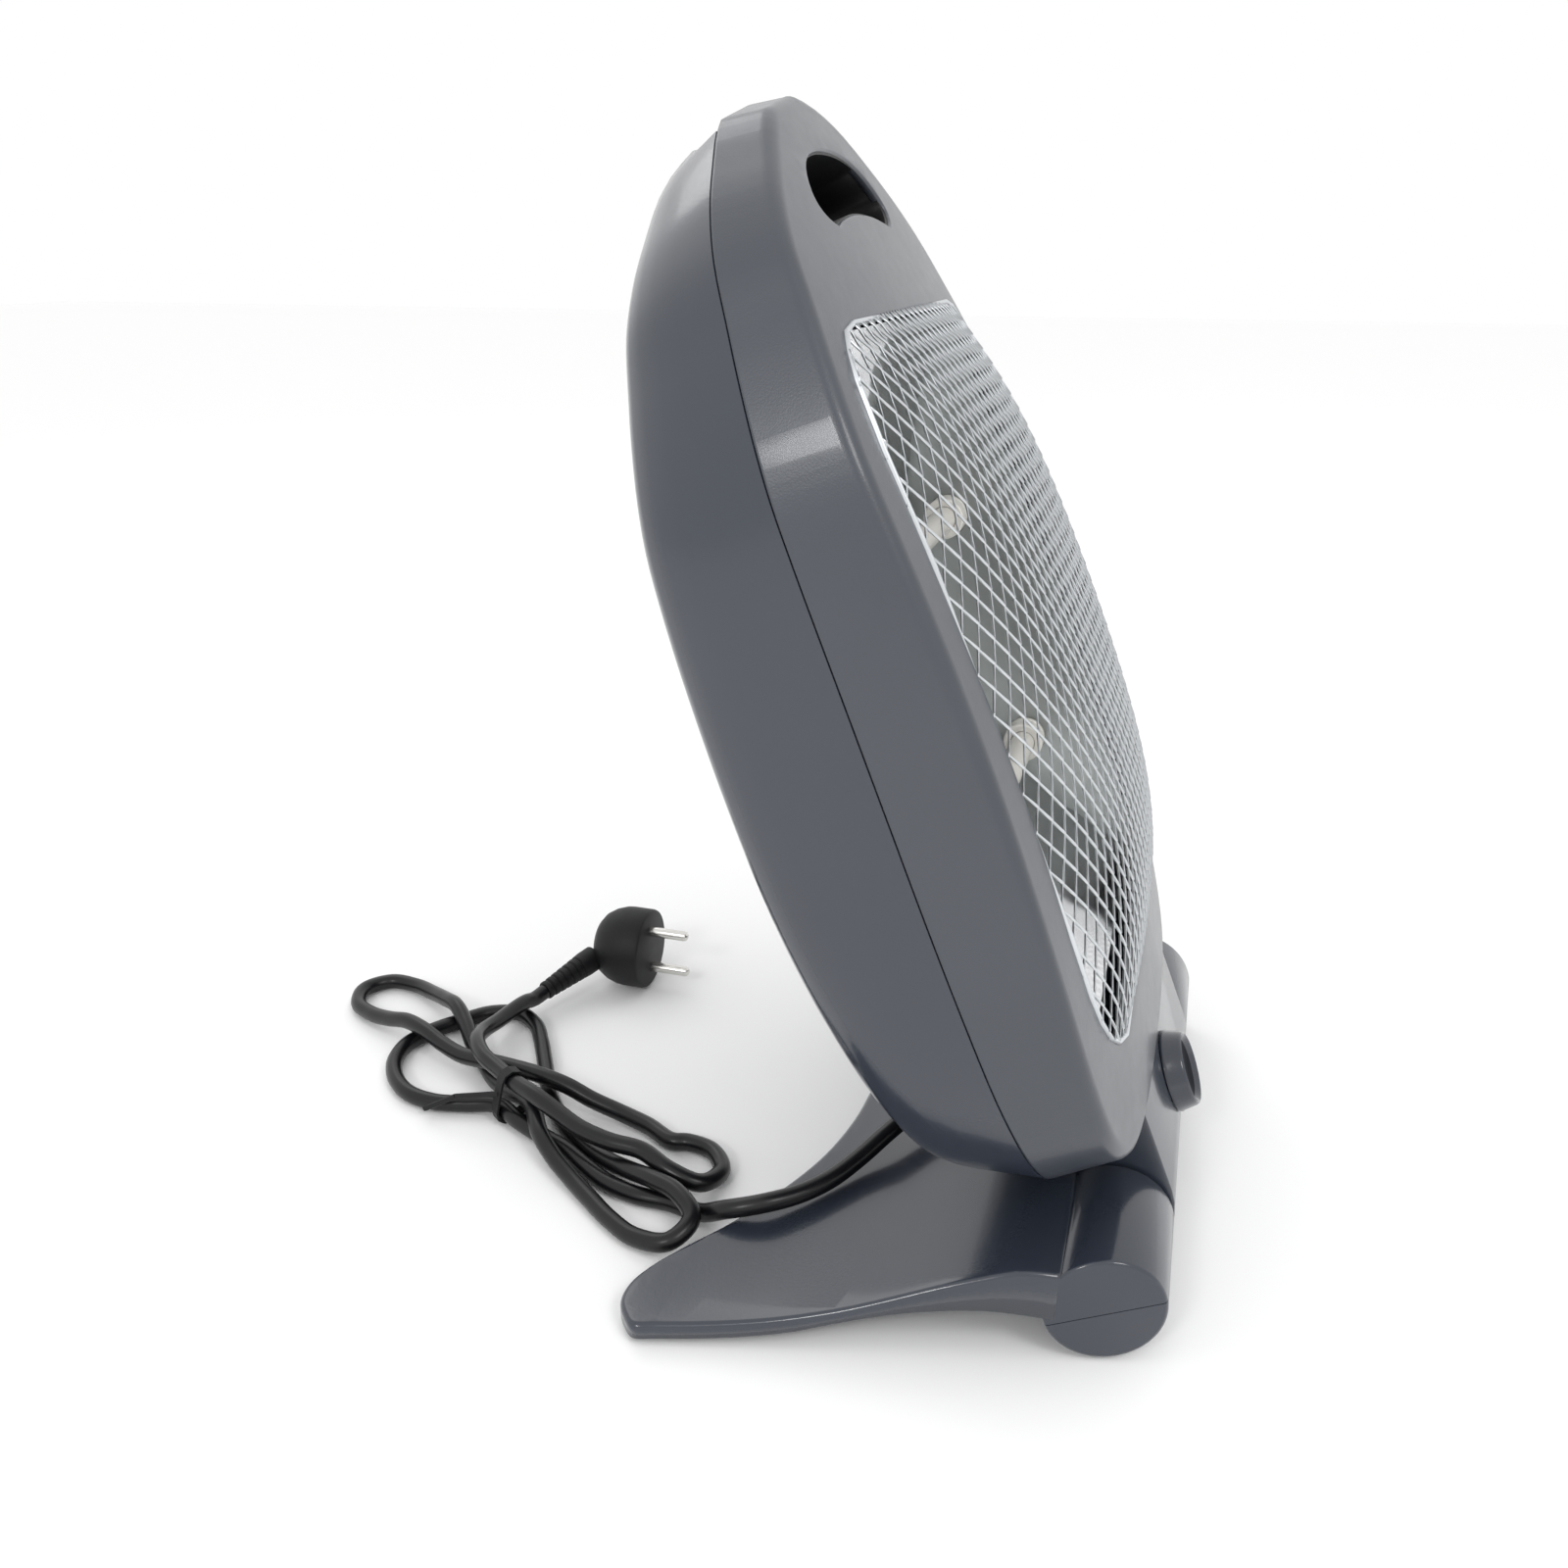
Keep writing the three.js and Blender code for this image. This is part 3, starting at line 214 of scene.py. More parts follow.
# %% Route of the cord
CORD_ROUTE = [
    (-28.3, 71.2, 32.2), (-32.4, 76.1, 29.2), (-47.8, 86.1, 24.5), (-59.6, 93.9, 20),
    (-71, 101.8, 17.1), (-81.2, 111.2, 15.9), (-89.4, 122.4, 15.4), (-92.2, 134.5, 12.3),
    (-88.7, 146.1, 5.4), (-84.7, 159.5, 3.8), (-84.3, 173.4, 3.6), (-80.8, 186.8, 3.6),
    (-74.2, 199.1, 3.6), (-67, 211.1, 3.7), (-61.4, 223.8, 3.6), (-56.7, 236.9, 5.2),
    (-50, 249, 5.3), (-51.4, 262.6, 4), (-53.5, 276.3, 3.6), (-51.2, 289.9, 3.6),
    (-43.1, 301.2, 3.6), (-31.5, 308.8, 3.6), (-17.9, 310.7, 3.6), (-5, 305.6, 3.6),
    (6.2, 297.2, 3.6), (16.4, 287.7, 3.6), (19.9, 274.8, 3.6), (12.8, 263.2, 3.6),
    (1.5, 254.9, 3.6), (-10.4, 247.6, 3.6), (-22.4, 240.4, 3.6), (-34.4, 233.3, 4.2),
    (-45.3, 224.6, 4.3), (-54.9, 214.5, 3.7), (-62.8, 203, 3.7), (-69.8, 190.9, 4.8),
    (-76.5, 179.2, 7.9), (-82.4, 167.3, 10.9), (-88.4, 154.8, 11.9), (-97.7, 145.9, 9.9),
    (-107.7, 151, 6.4), (-106.6, 164.5, 4.1), (-100.1, 176.8, 3.6), (-92, 188.3, 3.7),
    (-83.9, 199.7, 4.5), (-76.1, 211.2, 6.9), (-67.8, 221, 10.2), (-56.8, 228.8, 11.6),
    (-47.2, 237.8, 9), (-39.9, 249.5, 5.5), (-31.7, 260.6, 3.7), (-22, 270.6, 4), (-12.6, 281, 5.7),
    (-2.6, 289.9, 9), (6.4, 299.4, 11.2), (14, 309.8, 8.7), (21.6, 321.3, 5.8), (27.9, 333.8, 3.9),
    (28.4, 347.3, 3.6), (18.4, 355.7, 3.6), (5.9, 351.3, 3.6), (-1.8, 339.7, 4.7), (-7, 326.8, 7.3),
    (-11.1, 314.5, 10.7), (-16.3, 302.4, 11.2), (-21.8, 290.5, 9.7), (-26.8, 277.8, 9.2),
    (-29.8, 265.3, 11), (-31.9, 251.6, 11.8), (-34.4, 238, 12.3), (-36, 224.6, 10.7),
    (-37.7, 212, 7.1), (-39.4, 198.2, 4.5), (-43.2, 184.8, 3.6), (-49.5, 172.6, 3.6),
    (-48.4, 166, 3.6), (-51, 154.8, 3.6), (-62.1, 147.2, 4.1), (-74.2, 151.3, 6.5),
    (-75.1, 163.9, 10.6), (-70.7, 176.1, 13.3), (-70, 190.1, 14.1), (-67.2, 203.7, 15.3),
    (-62.2, 215.9, 17.2), (-57.1, 227.9, 19.2), (-51, 239.4, 18.6), (-43.7, 250.8, 18.3),
    (-36.4, 261.9, 18.5), (-26.1, 270.5, 17.8), (-14.2, 274.3, 14.7), (-1.6, 273.9, 12.4),
    (17.3, 270.7, 11.6), (23.5, 268.9, 10.2), (29.7, 266.5, 11.1),
]


def through(points, per):
    """Centripetal curve through the points, with per samples in each stretch."""
    points = [Vector(p) for p in points]
    ends = [2 * points[0] - points[1], *points, 2 * points[-1] - points[-2]]
    line = []
    for a, b, c, d in zip(ends, ends[1:], ends[2:], ends[3:]):
        ab, bc, cd = (max((q - p).length ** 0.5, 1e-4) for p, q in ((a, b), (b, c), (c, d)))
        start = ((b - a) / ab - (c - a) / (ab + bc) + (c - b) / bc) * bc
        end = ((c - b) / bc - (d - b) / (bc + cd) + (d - c) / cd) * bc
        for k in range(per):
            t = k / per
            line.append(b + start * t + (3 * (c - b) - 2 * start - end) * t ** 2
                        + (2 * (b - c) + start + end) * t ** 3)
    return [*line, points[-1]]


# %% [markdown]
# A curve object needs only points and a radius. Its ends are capped, so that the cord is closed,
# and it rides on the base, because it lies on the floor beside the foot.


# %% Cord
def round_curve(name, points, radius, material, body):
    data = bpy.data.curves.new(name, "CURVE")
    data.dimensions = "3D"
    data.bevel_depth = radius * MM
    data.bevel_resolution = 4
    data.use_fill_caps = True
    spline = data.splines.new("POLY")
    spline.points.add(len(points) - 1)
    for spot, p in zip(spline.points, points):
        spot.co = (*(FOOT @ Vector(p)), 1)
    data.materials.append(material)
    made = bpy.data.objects.new(name, data)
    bpy.context.collection.objects.link(made)
    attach(made, body)
    return made


CORD_RADIUS = 3.5
cord_line = through(CORD_ROUTE, 7)
cord_length = sum((b - a).length for a, b in zip(cord_line, cord_line[1:])) * MM
mains_cord = round_curve("mains_cord", cord_line, CORD_RADIUS, cord_pvc, "base")
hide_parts("cord_run", "cord_hank")
print("cord length", round(cord_length, 3))

# %% [markdown]
# Most pieces are built in bmesh and handed over by one helper. It turns the faces outwards and
# applies the place to the mesh. It shades the piece smooth, except where faces meet at more than
# a given angle, and lets it ride on its body.


# %% Handing over a piece
def hand_over(bm, name, place, material, body, node=None, sharp=35):
    bmesh.ops.recalc_face_normals(bm, faces=bm.faces)
    bmesh.ops.transform(bm, matrix=place, verts=bm.verts)
    mesh = bpy.data.meshes.new(name)
    bm.to_mesh(mesh)
    bm.free()
    mesh.polygons.foreach_set("use_smooth", [True] * len(mesh.polygons))
    mesh.set_sharp_from_angle(angle=math.radians(sharp))
    mesh.materials.append(material)
    made = bpy.data.objects.new(name, mesh)
    bpy.context.collection.objects.link(made)
    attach(made, body)
    if node:
        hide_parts(node)
    print(name, "faces:", len(mesh.polygons))
    return made


# %% [markdown]
# A few small tools save repeating the same operators. A shell is lofted: a ring of edges is
# extruded again and again, and a number kept on each vertex says which point of the next ring it
# moves to. A round piece is turned: its half profile is spun round an axis, as on a lathe.


# %% Bmesh helpers
def verts_in(geometry):
    return [g for g in geometry if isinstance(g, bmesh.types.BMVert)]


def edges_in(geometry):
    return [g for g in geometry if isinstance(g, bmesh.types.BMEdge)]


def all_of(bm):
    return bm.verts[:] + bm.edges[:] + bm.faces[:]


def edge_ring(bm, points, layer=None):
    """Close points into a ring of edges, and number its vertices when a layer is given."""
    verts = [bm.verts.new(p) for p in points]
    if layer:
        for i, v in enumerate(verts):
            v[layer] = i
    return [bm.edges.new((a, b)) for a, b in zip(verts, verts[1:] + verts[:1])]


def extruded(bm, edges, move):
    """Extrude a ring of edges, put each new vertex where move says and return the new ring."""
    made = bmesh.ops.extrude_edge_only(bm, edges=edges)["geom"]
    fresh = set(verts_in(made))
    for v in fresh:
        v.co = move(v)
    return [e for e in edges_in(made) if fresh.issuperset(e.verts)]


def lofted(rings, close_end=True):
    """Skin over rings of equal length. The first stays open."""
    bm = bmesh.new()
    layer = bm.verts.layers.int.new("place in the ring")
    edges = edge_ring(bm, rings[0], layer)
    for ring in rings[1:]:
        edges = extruded(bm, edges, lambda v: ring[v[layer]])
    if close_end:
        bmesh.ops.edgeloop_fill(bm, edges=edges)
    return bm


def turned(profile, start, along, steps):
    """Spin a profile of (radius, distance) pairs round the line from start along a direction."""
    bm = bmesh.new()
    axis = Vector(along).normalized()
    side = axis.orthogonal().normalized()
    spots = [bm.verts.new(Vector(start) + axis * d + side * r) for r, d in profile]
    edges = [bm.edges.new(pair) for pair in zip(spots, spots[1:])]
    bmesh.ops.spin(bm, geom=spots + edges, cent=start, axis=axis, angle=math.tau, steps=steps,
                   use_merge=True)
    bmesh.ops.remove_doubles(bm, verts=bm.verts, dist=0.01)
    return bm


# %% [markdown]
# The head's outline is egg-shaped with a flat bottom: a smooth curve through the same few points
# as in the CAD, each a share of the head's half width and height. The face is a shallow bulge
# over that outline. The back curves along its height only, and more strongly below.

# %% Outline of the head
HEAD_LOW, HEAD_TOP, HEAD_HALF = 33, 385.5, 119
EGG = [
    (0, 1), (0.29, 0.98), (0.5, 0.935), (0.63, 0.9), (0.735, 0.86), (0.81, 0.81), (0.86, 0.775),
    (0.92, 0.725), (0.955, 0.68), (0.97, 0.62), (0.98, 0.52), (0.99, 0.42), (1, 0.32), (1, 0.235),
    (0.985, 0.145), (0.945, 0.088), (0.905, 0.06), (0.84, 0.035), (0.72, 0.012), (0.55, 0.001), (0.25, 0),
]
EGG_STEPS = 4
right_half = [Vector((u * HEAD_HALF, 0, HEAD_LOW + v * (HEAD_TOP - HEAD_LOW))) for u, v in EGG]
whole = [*right_half, Vector((0, 0, HEAD_LOW)), *[Vector((-p.x, 0, p.z)) for p in right_half[:0:-1]]]
# The curve runs on past both ends, and what lies past them is cut off again.
egg_line = through([whole[-1], *whole, whole[0], whole[1]], EGG_STEPS)[EGG_STEPS:-2 * EGG_STEPS]
outline = [(p.x, max(p.z, HEAD_LOW)) for p in egg_line]
SPLIT_Y = 6  # the parting line between the front and the rear shell
FACE_Y, FACE_Z = -31.3, 170  # the face's most forward point
BACK_Y, BACK_Z = 62, 175  # the back's most backward point


def face_y(x, z):
    return FACE_Y + 0.00048 * (z - FACE_Z) ** 2 + 0.0004 * x * x


def back_y(z):
    return BACK_Y - (0.0011 if z < BACK_Z else 0.0006) * (z - BACK_Z) ** 2


print("outline points", len(outline))

# %% [markdown]
# The window is a rounded rectangle and the finger hole a low arch. Both are functions
# of how far they grow, so that the guard, its frame and the pocket follow the same outlines.

# %% Window and finger hole
WINDOW_TOP, WINDOW_LOW, WINDOW_HALF = 311, 68, 98
HOLE_TOP, HOLE_LOW, HOLE_HALF = 366, 338, 44


def inset(points, d):
    """Move a ring of (x, z) points inwards along its own normals."""
    moved = []
    for before, (x, z), after in zip(points[-1:] + points[:-1], points, points[1:] + points[:1]):
        dx, dz = after[0] - before[0], after[1] - before[1]
        length = math.hypot(dx, dz)
        moved.append((x + d * dz / length, z - d * dx / length))
    return moved


def window_ring(grow):
    right = [
        (70, WINDOW_TOP + grow), (80, WINDOW_TOP - 2 + grow), (86 + grow, 303), (91 + grow, 295),
        (96 + grow, 275), (WINDOW_HALF + grow, 240), (WINDOW_HALF + grow, 120), (96 + grow, 100),
        (92 + grow, 88), (86 + grow, 79), (78 + grow, WINDOW_LOW + 4 - grow), (66, WINDOW_LOW - grow),
    ]
    return right + [(-x, z) for x, z in reversed(right)]


def hole_ring(grow):
    """Five curves, each from a first to a last point and drawn towards the one between."""
    wide, low, top = HOLE_HALF + grow, HOLE_LOW - grow, HOLE_TOP + grow
    corners = [
        ((-wide * 0.78, low), (0, low + 8), (wide * 0.78, low)),
        ((wide * 0.78, low), (wide * 1.08, low + 4), (wide, low + 12)),
        ((wide, low + 12), (wide * 0.8, top), (0, top)),
        ((0, top), (-wide * 0.8, top), (-wide, low + 12)),
        ((-wide, low + 12), (-wide * 1.08, low + 4), (-wide * 0.78, low)),
    ]
    return [tuple((1 - t) ** 2 * a[i] + 2 * t * (1 - t) * b[i] + t * t * c[i] for i in (0, 1))
            for a, b, c in corners for t in [k / 10 for k in range(10)]]


def at_depth(ring, y_at):
    return [Vector((x, y_at(x, z), z)) for x, z in ring]


def behind_face(ring, back):
    return at_depth(ring, lambda x, z: face_y(x, z) + back)


print("window points", len(window_ring(0)), "and hole points", len(hole_ring(0)))

# %% [markdown]
# A bent sheet starts flat. triangle_fill makes it from closed loops of edges, of which the inner
# ones become holes, and bisecting it by many planes gives it enough points to be bent.


# %% Fine flat sheet
def fine_sheet(loops, step_x, step_z, facing):
    """Sheet between loops of (x, z) points, cut by planes that stand step_x and step_z apart."""
    bm = bmesh.new()
    edges = [e for loop in loops for e in edge_ring(bm, [(x, 0, z) for x, z in loop])]
    bmesh.ops.triangle_fill(bm, use_beauty=True, edges=edges, normal=(0, facing, 0))
    reach = max(abs(c) for v in bm.verts for c in v.co)
    for axis, step in ((0, step_x), (2, step_z)):
        normal = Vector([float(k == axis) for k in range(3)])
        for k in range(-int(reach / step), int(reach / step) + 1):
            bmesh.ops.bisect_plane(bm, geom=all_of(bm), plane_co=normal * k * step, plane_no=normal)
    return bm


# %% [markdown]
# Moulded edges are never knife-sharp, so a sheet's rims are found and rolled over. Each vertex
# of a rim remembers where it started and which way leads off the sheet. Every extrusion then
# puts it a step further out and a step deeper, along a quarter circle.


# %% Rolled rims
def rims_of(bm):
    """The sheet's rims, each a list of edges, the longest rim first."""
    left = {e: True for e in bm.edges if e.is_boundary}
    rims = []
    while left:
        rim, reached = [], [left.popitem()[0]]
        while reached:
            rim.append(reached.pop())
            reached += [e for v in rim[-1].verts for e in v.link_edges if left.pop(e, False)]
        rims.append(rim)
    return sorted(rims, key=lambda rim: sum(e.calc_length() for e in rim), reverse=True)


def rim_normals(edges):
    """Direction away from the sheet, in its plane, at each vertex of a rim."""
    normals = {}
    for e in edges:
        along = e.verts[1].co - e.verts[0].co
        out = Vector((along.z, 0, -along.x)).normalized()
        if out.dot(e.verts[0].co - e.link_faces[0].calc_center_median()) < 0:
            out.negate()
        for v in e.verts:
            normals[v] = normals.get(v, Vector()) + out
    return {v: normal.normalized() for v, normal in normals.items()}


def rolled_rim(bm, edges, steps):
    """Extrude a rim through steps of (outwards, y): y is added, or taken as it is when level."""
    layer = bm.verts.layers.int.get("rim") or bm.verts.layers.int.new("rim")
    normals = rim_normals(edges)
    spots = {v: tuple(round(c, 3) for c in v.co) for v in normals}
    # A cut close to a corner leaves two vertices in one spot, and these have to move as one.
    shared = {spots[v]: (v.co.copy(), normal) for v, normal in normals.items()}
    starts = []
    for v in normals:
        v[layer] = len(starts)
        starts.append(shared[spots[v]])
    for out, y, is_level in steps:
        def move(v):
            start, normal = starts[v[layer]]
            return Vector((start.x + normal.x * out, y if is_level else start.y + y,
                           start.z + normal.z * out))
        edges = extruded(bm, edges, move)


def quarter_round(radius, count, way=1):
    """Steps of a rolled rim along a quarter circle, towards larger y or, with way -1, smaller."""
    angles = [math.radians(90 * (k + 1) / count) for k in range(count)]
    return [(radius * math.sin(a), way * radius * (1 - math.cos(a)), False) for a in angles]


# %% [markdown]
# The front shell is such a sheet with two holes, bent onto the bulge. Its outer rim rounds over
# to the side wall and runs back to the parting line, where a fine groove stays open. The rims of
# the window and the finger hole turn inwards.

# %% Front shell
FACE_ROUND, HOLE_ROUND = 5, 1.2
front = fine_sheet([inset(outline, FACE_ROUND), window_ring(0), hole_ring(0)], 9, 7, facing=-1)
outer_rim, window_rim, hole_rim = rims_of(front)
for v in front.verts:
    v.co.y = face_y(v.co.x, v.co.z)
side_wall = [(7.4, SPLIT_Y - 0.6, True), (7.5, SPLIT_Y, True)]
rolled_rim(front, outer_rim, quarter_round(FACE_ROUND, 6) + side_wall)
for rim, deep in ((window_rim, 4.5), (hole_rim, 3)):
    rolled_rim(front, rim, quarter_round(HOLE_ROUND, 6) + [(HOLE_ROUND, deep, False)])
front_cover = hand_over(front, "front_cover", HEAD, satin_slate, "head", "front_shell", sharp=50)

# %% [markdown]
# Below the face the shell narrows to a neck that carries the knob and wraps round the hinge. Its
# side view is one outline, a flat front that runs into the round saddle, extruded across. Only
# the edges of its two cheeks are bevelled.

# %% Neck and saddle
SADDLE_HALF, SADDLE_R = 61, 19.4
turns = [math.radians(k) for k in range(198, 364, 3)]
saddle_arc = [(SADDLE_R * math.cos(a), SADDLE_R * math.sin(a)) for a in turns]
neck_side = [(-20.3, 50), (-20.5, 30), (-20.5, 4), (-20.0, -1), *saddle_arc, (19.3, 20), (19.0, 50)]
neck = bmesh.new()
edge_ring(neck, [(-SADDLE_HALF, y, z) for y, z in neck_side])
cheek = bmesh.ops.edgeloop_fill(neck, edges=neck.edges)["faces"]
grown = bmesh.ops.extrude_face_region(neck, geom=cheek)["geom"]
bmesh.ops.translate(neck, vec=(2 * SADDLE_HALF, 0, 0), verts=verts_in(grown))
bmesh.ops.recalc_face_normals(neck, faces=neck.faces)
sides = [e for e in neck.edges if len({round(v.co.x) for v in e.verts}) == 1]
bmesh.ops.bevel(neck, geom=sides, offset=0.8, segments=3, profile=0.5, affect="EDGES", material=-1)
saddle = hand_over(neck, "saddle", HEAD, gloss_slate, "head", sharp=40)

# %% [markdown]
# The rear shell is a deep tray. Its rings step inwards as they go back. A smooth curve through
# the same point of every ring rounds the corner between side and back, which catches one long
# highlight.


# %% Rear shell
def shrunk(points, k):
    middle = (HEAD_TOP + HEAD_LOW) / 2
    return [(x * k, middle + (z - middle) * k) for x, z in points]


core = inset(outline, 24)
rear_rings = [at_depth(inset(outline, -2.5), lambda x, z: SPLIT_Y + 0.5)]
for ring, further in ((inset(outline, 8), -6.5), (inset(outline, 17), -1), (core, 0.8),
                      (shrunk(core, 0.6), 3.5), (shrunk(core, 0.2), 4.8)):
    rear_rings.append(at_depth(ring, lambda x, z: back_y(z) + further))
strings = [through(string, 5) for string in zip(*rear_rings)]
rear = lofted([list(ring) for ring in zip(*strings)])
rear_cover = hand_over(rear, "rear_cover", HEAD, gloss_slate, "head", "rear_shell", sharp=60)

# %% [markdown]
# A thin sheet shows its edge where it is cut, so both shells get a real wall from Solidify. The
# vents of the rear shell, the notch above the finger hole and the room for the neck are cut with
# Boolean modifiers, as slides in a mould shape them. A cut makes new edges, so those that have to
# look sharp are marked again afterwards.


# %% Walls and cuts
def wall(target, thickness):
    modifier = target.modifiers.new("wall", "SOLIDIFY")
    modifier.thickness = thickness * MM
    modifier.offset = -1


def box_cutter(name, low, high):
    bm = bmesh.new()
    bmesh.ops.create_cube(bm, size=1)
    size = Vector(high) - Vector(low)
    bmesh.ops.scale(bm, vec=size, verts=bm.verts)
    bmesh.ops.translate(bm, vec=(Vector(high) + Vector(low)) / 2, verts=bm.verts)
    bmesh.ops.bevel(bm, geom=bm.edges[:], offset=min(size) * 0.3, segments=2, profile=0.5,
                    affect="EDGES", material=-1)
    bmesh.ops.transform(bm, matrix=HEAD, verts=bm.verts)
    mesh = bpy.data.meshes.new(name)
    bm.to_mesh(mesh)
    bm.free()
    return bpy.data.objects.new(name, mesh)


def cut(target, cutters):
    for tool in cutters:
        bpy.context.collection.objects.link(tool)
        modifier = target.modifiers.new(tool.name, "BOOLEAN")
        modifier.object = tool
        modifier.operation = "DIFFERENCE"
        modifier.solver = "EXACT"
    graph = bpy.context.evaluated_depsgraph_get()
    result = bpy.data.meshes.new_from_object(target.evaluated_get(graph))
    target.modifiers.clear()
    result.set_sharp_from_angle(angle=math.radians(32))
    target.data = result
    for tool in cutters:
        bpy.data.objects.remove(tool)


SHELL_WALL = 2.2
VENT_X, VENT_HALF, VENT_TALL = 30, 22, 4
for shell in (front_cover, rear_cover):
    wall(shell, SHELL_WALL)
vents = [box_cutter(f"vent_{x}_{low}", (x - VENT_HALF, 25, low), (x + VENT_HALF, 95, low + VENT_TALL))
         for low in (268, 284, 88, 104) for x in (-VENT_X, VENT_X)]
neck_room = box_cutter("neck_room", (-61.6, 0, 0), (61.6, 19.9, 45.8))
notch = box_cutter("notch", (-46, 0, 375.5), (46, 22, 400))
cut(rear_cover, [*vents, neck_room, notch])
print("rear cover faces after cuts", len(rear_cover.data.polygons))

# %% [markdown]
# The guard is expanded metal: a sheet that is slit and stretched, so that each opening is a
# diamond and each strand stands a little askew. One diamond with its opening is duplicated over
# a flat sheet, the sheet is trimmed along the window's convex outline with bisect_plane, and
# then it is bent onto the dome.

# %% Guard
MESH_WIDE, MESH_TALL, STRAND, STRAND_LEAN = 7.2, 12.6, 0.32, 0.4
MESH_ROWS, MESH_COLUMNS = range(-1, 40), range(-15, 16)
DOME = 13  # how far the guard stands out before the face
GUARD_MIDDLE = (WINDOW_TOP + WINDOW_LOW) / 2
GUARD_SPAN = (WINDOW_TOP - WINDOW_LOW) / 2


def guard_y(x, z):
    across = 1 - min(1, abs(x / WINDOW_HALF)) ** 4
    along = 1 - min(1, abs((z - GUARD_MIDDLE) / GUARD_SPAN)) ** 4
    return face_y(x, z) - DOME * across * along


def trim(bm, ring):
    """Keep what lies inside a convex ring of (x, z) points that runs clockwise from its top."""
    for (ax, az), (bx, bz) in zip(ring, ring[1:] + ring[:1]):
        bmesh.ops.bisect_plane(bm, geom=all_of(bm), plane_co=(ax, 0, az),
                               plane_no=(az - bz, 0, bx - ax), clear_outer=True)


def strand_lean(v):
    """An opening's upper corners lean back and its lower ones forwards; joints stay level."""
    inner = abs(v.co.x) / (MESH_WIDE / 2) + abs(v.co.z) / (MESH_TALL / 2) < 0.99
    if not inner or abs(v.co.z) < 0.1:
        return 0
    return math.copysign(STRAND_LEAN, v.co.z)


mesh_sheet = bmesh.new()
corners = [(-MESH_WIDE / 2, 0), (0, -MESH_TALL / 2), (MESH_WIDE / 2, 0), (0, MESH_TALL / 2)]
rhombus = edge_ring(mesh_sheet, [(x, 0, z) for x, z in corners])
diamond = bmesh.ops.edgeloop_fill(mesh_sheet, edges=rhombus)["faces"]
bmesh.ops.inset_individual(mesh_sheet, faces=diamond, thickness=STRAND)
bmesh.ops.delete(mesh_sheet, geom=diamond, context="FACES")
lean_layer = mesh_sheet.verts.layers.float.new("lean")
for v in mesh_sheet.verts:
    v[lean_layer] = strand_lean(v)
one = all_of(mesh_sheet)
for row in MESH_ROWS:
    for column in MESH_COLUMNS:
        copy = bmesh.ops.duplicate(mesh_sheet, geom=one)["geom"]
        offset = ((column + abs(row % 2) / 2) * MESH_WIDE, 0, WINDOW_LOW + row * MESH_TALL / 2)
        bmesh.ops.translate(mesh_sheet, vec=offset, verts=verts_in(copy))
bmesh.ops.delete(mesh_sheet, geom=verts_in(one), context="VERTS")
bmesh.ops.remove_doubles(mesh_sheet, verts=mesh_sheet.verts, dist=0.01)
trim(mesh_sheet, window_ring(-0.6))
for v in mesh_sheet.verts:
    v.co.y = guard_y(v.co.x, v.co.z) + v[lean_layer] + STRAND_LEAN
guard = hand_over(mesh_sheet, "guard", HEAD, silver_mesh, "head", "grille", sharp=50)
wall(guard, 0.5)

# %% [markdown]
# A narrow rounded frame covers the guard's cut edge, as the real one does. It is lofted through
# six rings that follow the window: up along its edge, over the top and down again.

# %% Frame of the guard
frame_rings = [(-0.5, 4), (-0.5, -0.8), (-0.8, -1.1), (-1.5, -1.0), (-1.9, -0.5), (-1.9, 3)]
collar = lofted([behind_face(window_ring(grow), back) for grow, back in frame_rings], close_end=False)
guard_frame = hand_over(collar, "guard_frame", HEAD, silver_mesh, "head", sharp=60)
wall(guard_frame, 0.6)

# %% [markdown]
# The reflector is one sheet of bright aluminium, curved like a parabola behind both tubes, with
# shallow ribs along it. Its side view is a wavy line, extruded across. The cheeks at its ends,
# which carry the tubes, are the CAD's own.

# %% Reflector
DISH_HALF_LONG = 89.6
DISH_Y, DISH_DEEP, DISH_Z, DISH_HALF = 36, 52, 190, 121
DISH_LOW, DISH_STEP, DISH_COUNT = 70.2, 0.995, 241
RIB_PITCH, RIB_DEPTH = 14, 0.35


def dish_y(z):
    smooth = DISH_Y - DISH_DEEP * ((z - DISH_Z) / DISH_HALF) ** 2
    return smooth - RIB_DEPTH * (1 - math.cos(math.tau * z / RIB_PITCH))


dish = bmesh.new()
heights = [DISH_LOW + k * DISH_STEP for k in range(DISH_COUNT)]
spots = [dish.verts.new((-DISH_HALF_LONG, dish_y(z), z)) for z in heights]
profile_edges = [dish.edges.new(pair) for pair in zip(spots, spots[1:])]
swept = bmesh.ops.extrude_edge_only(dish, edges=profile_edges)["geom"]
bmesh.ops.translate(dish, vec=(2 * DISH_HALF_LONG, 0, 0), verts=verts_in(swept))
reflector = hand_over(dish, "bright_reflector", HEAD, mirror_sheet, "head", "reflector", sharp=80)
wall(reflector, 0.6)

# %% [markdown]
# Each lamp is a quartz tube, held by grooved ceramic caps at its ends. Tubes and caps are spun
# from a profile. The quartz is milky, so the heating coils within stay as the CAD has them.

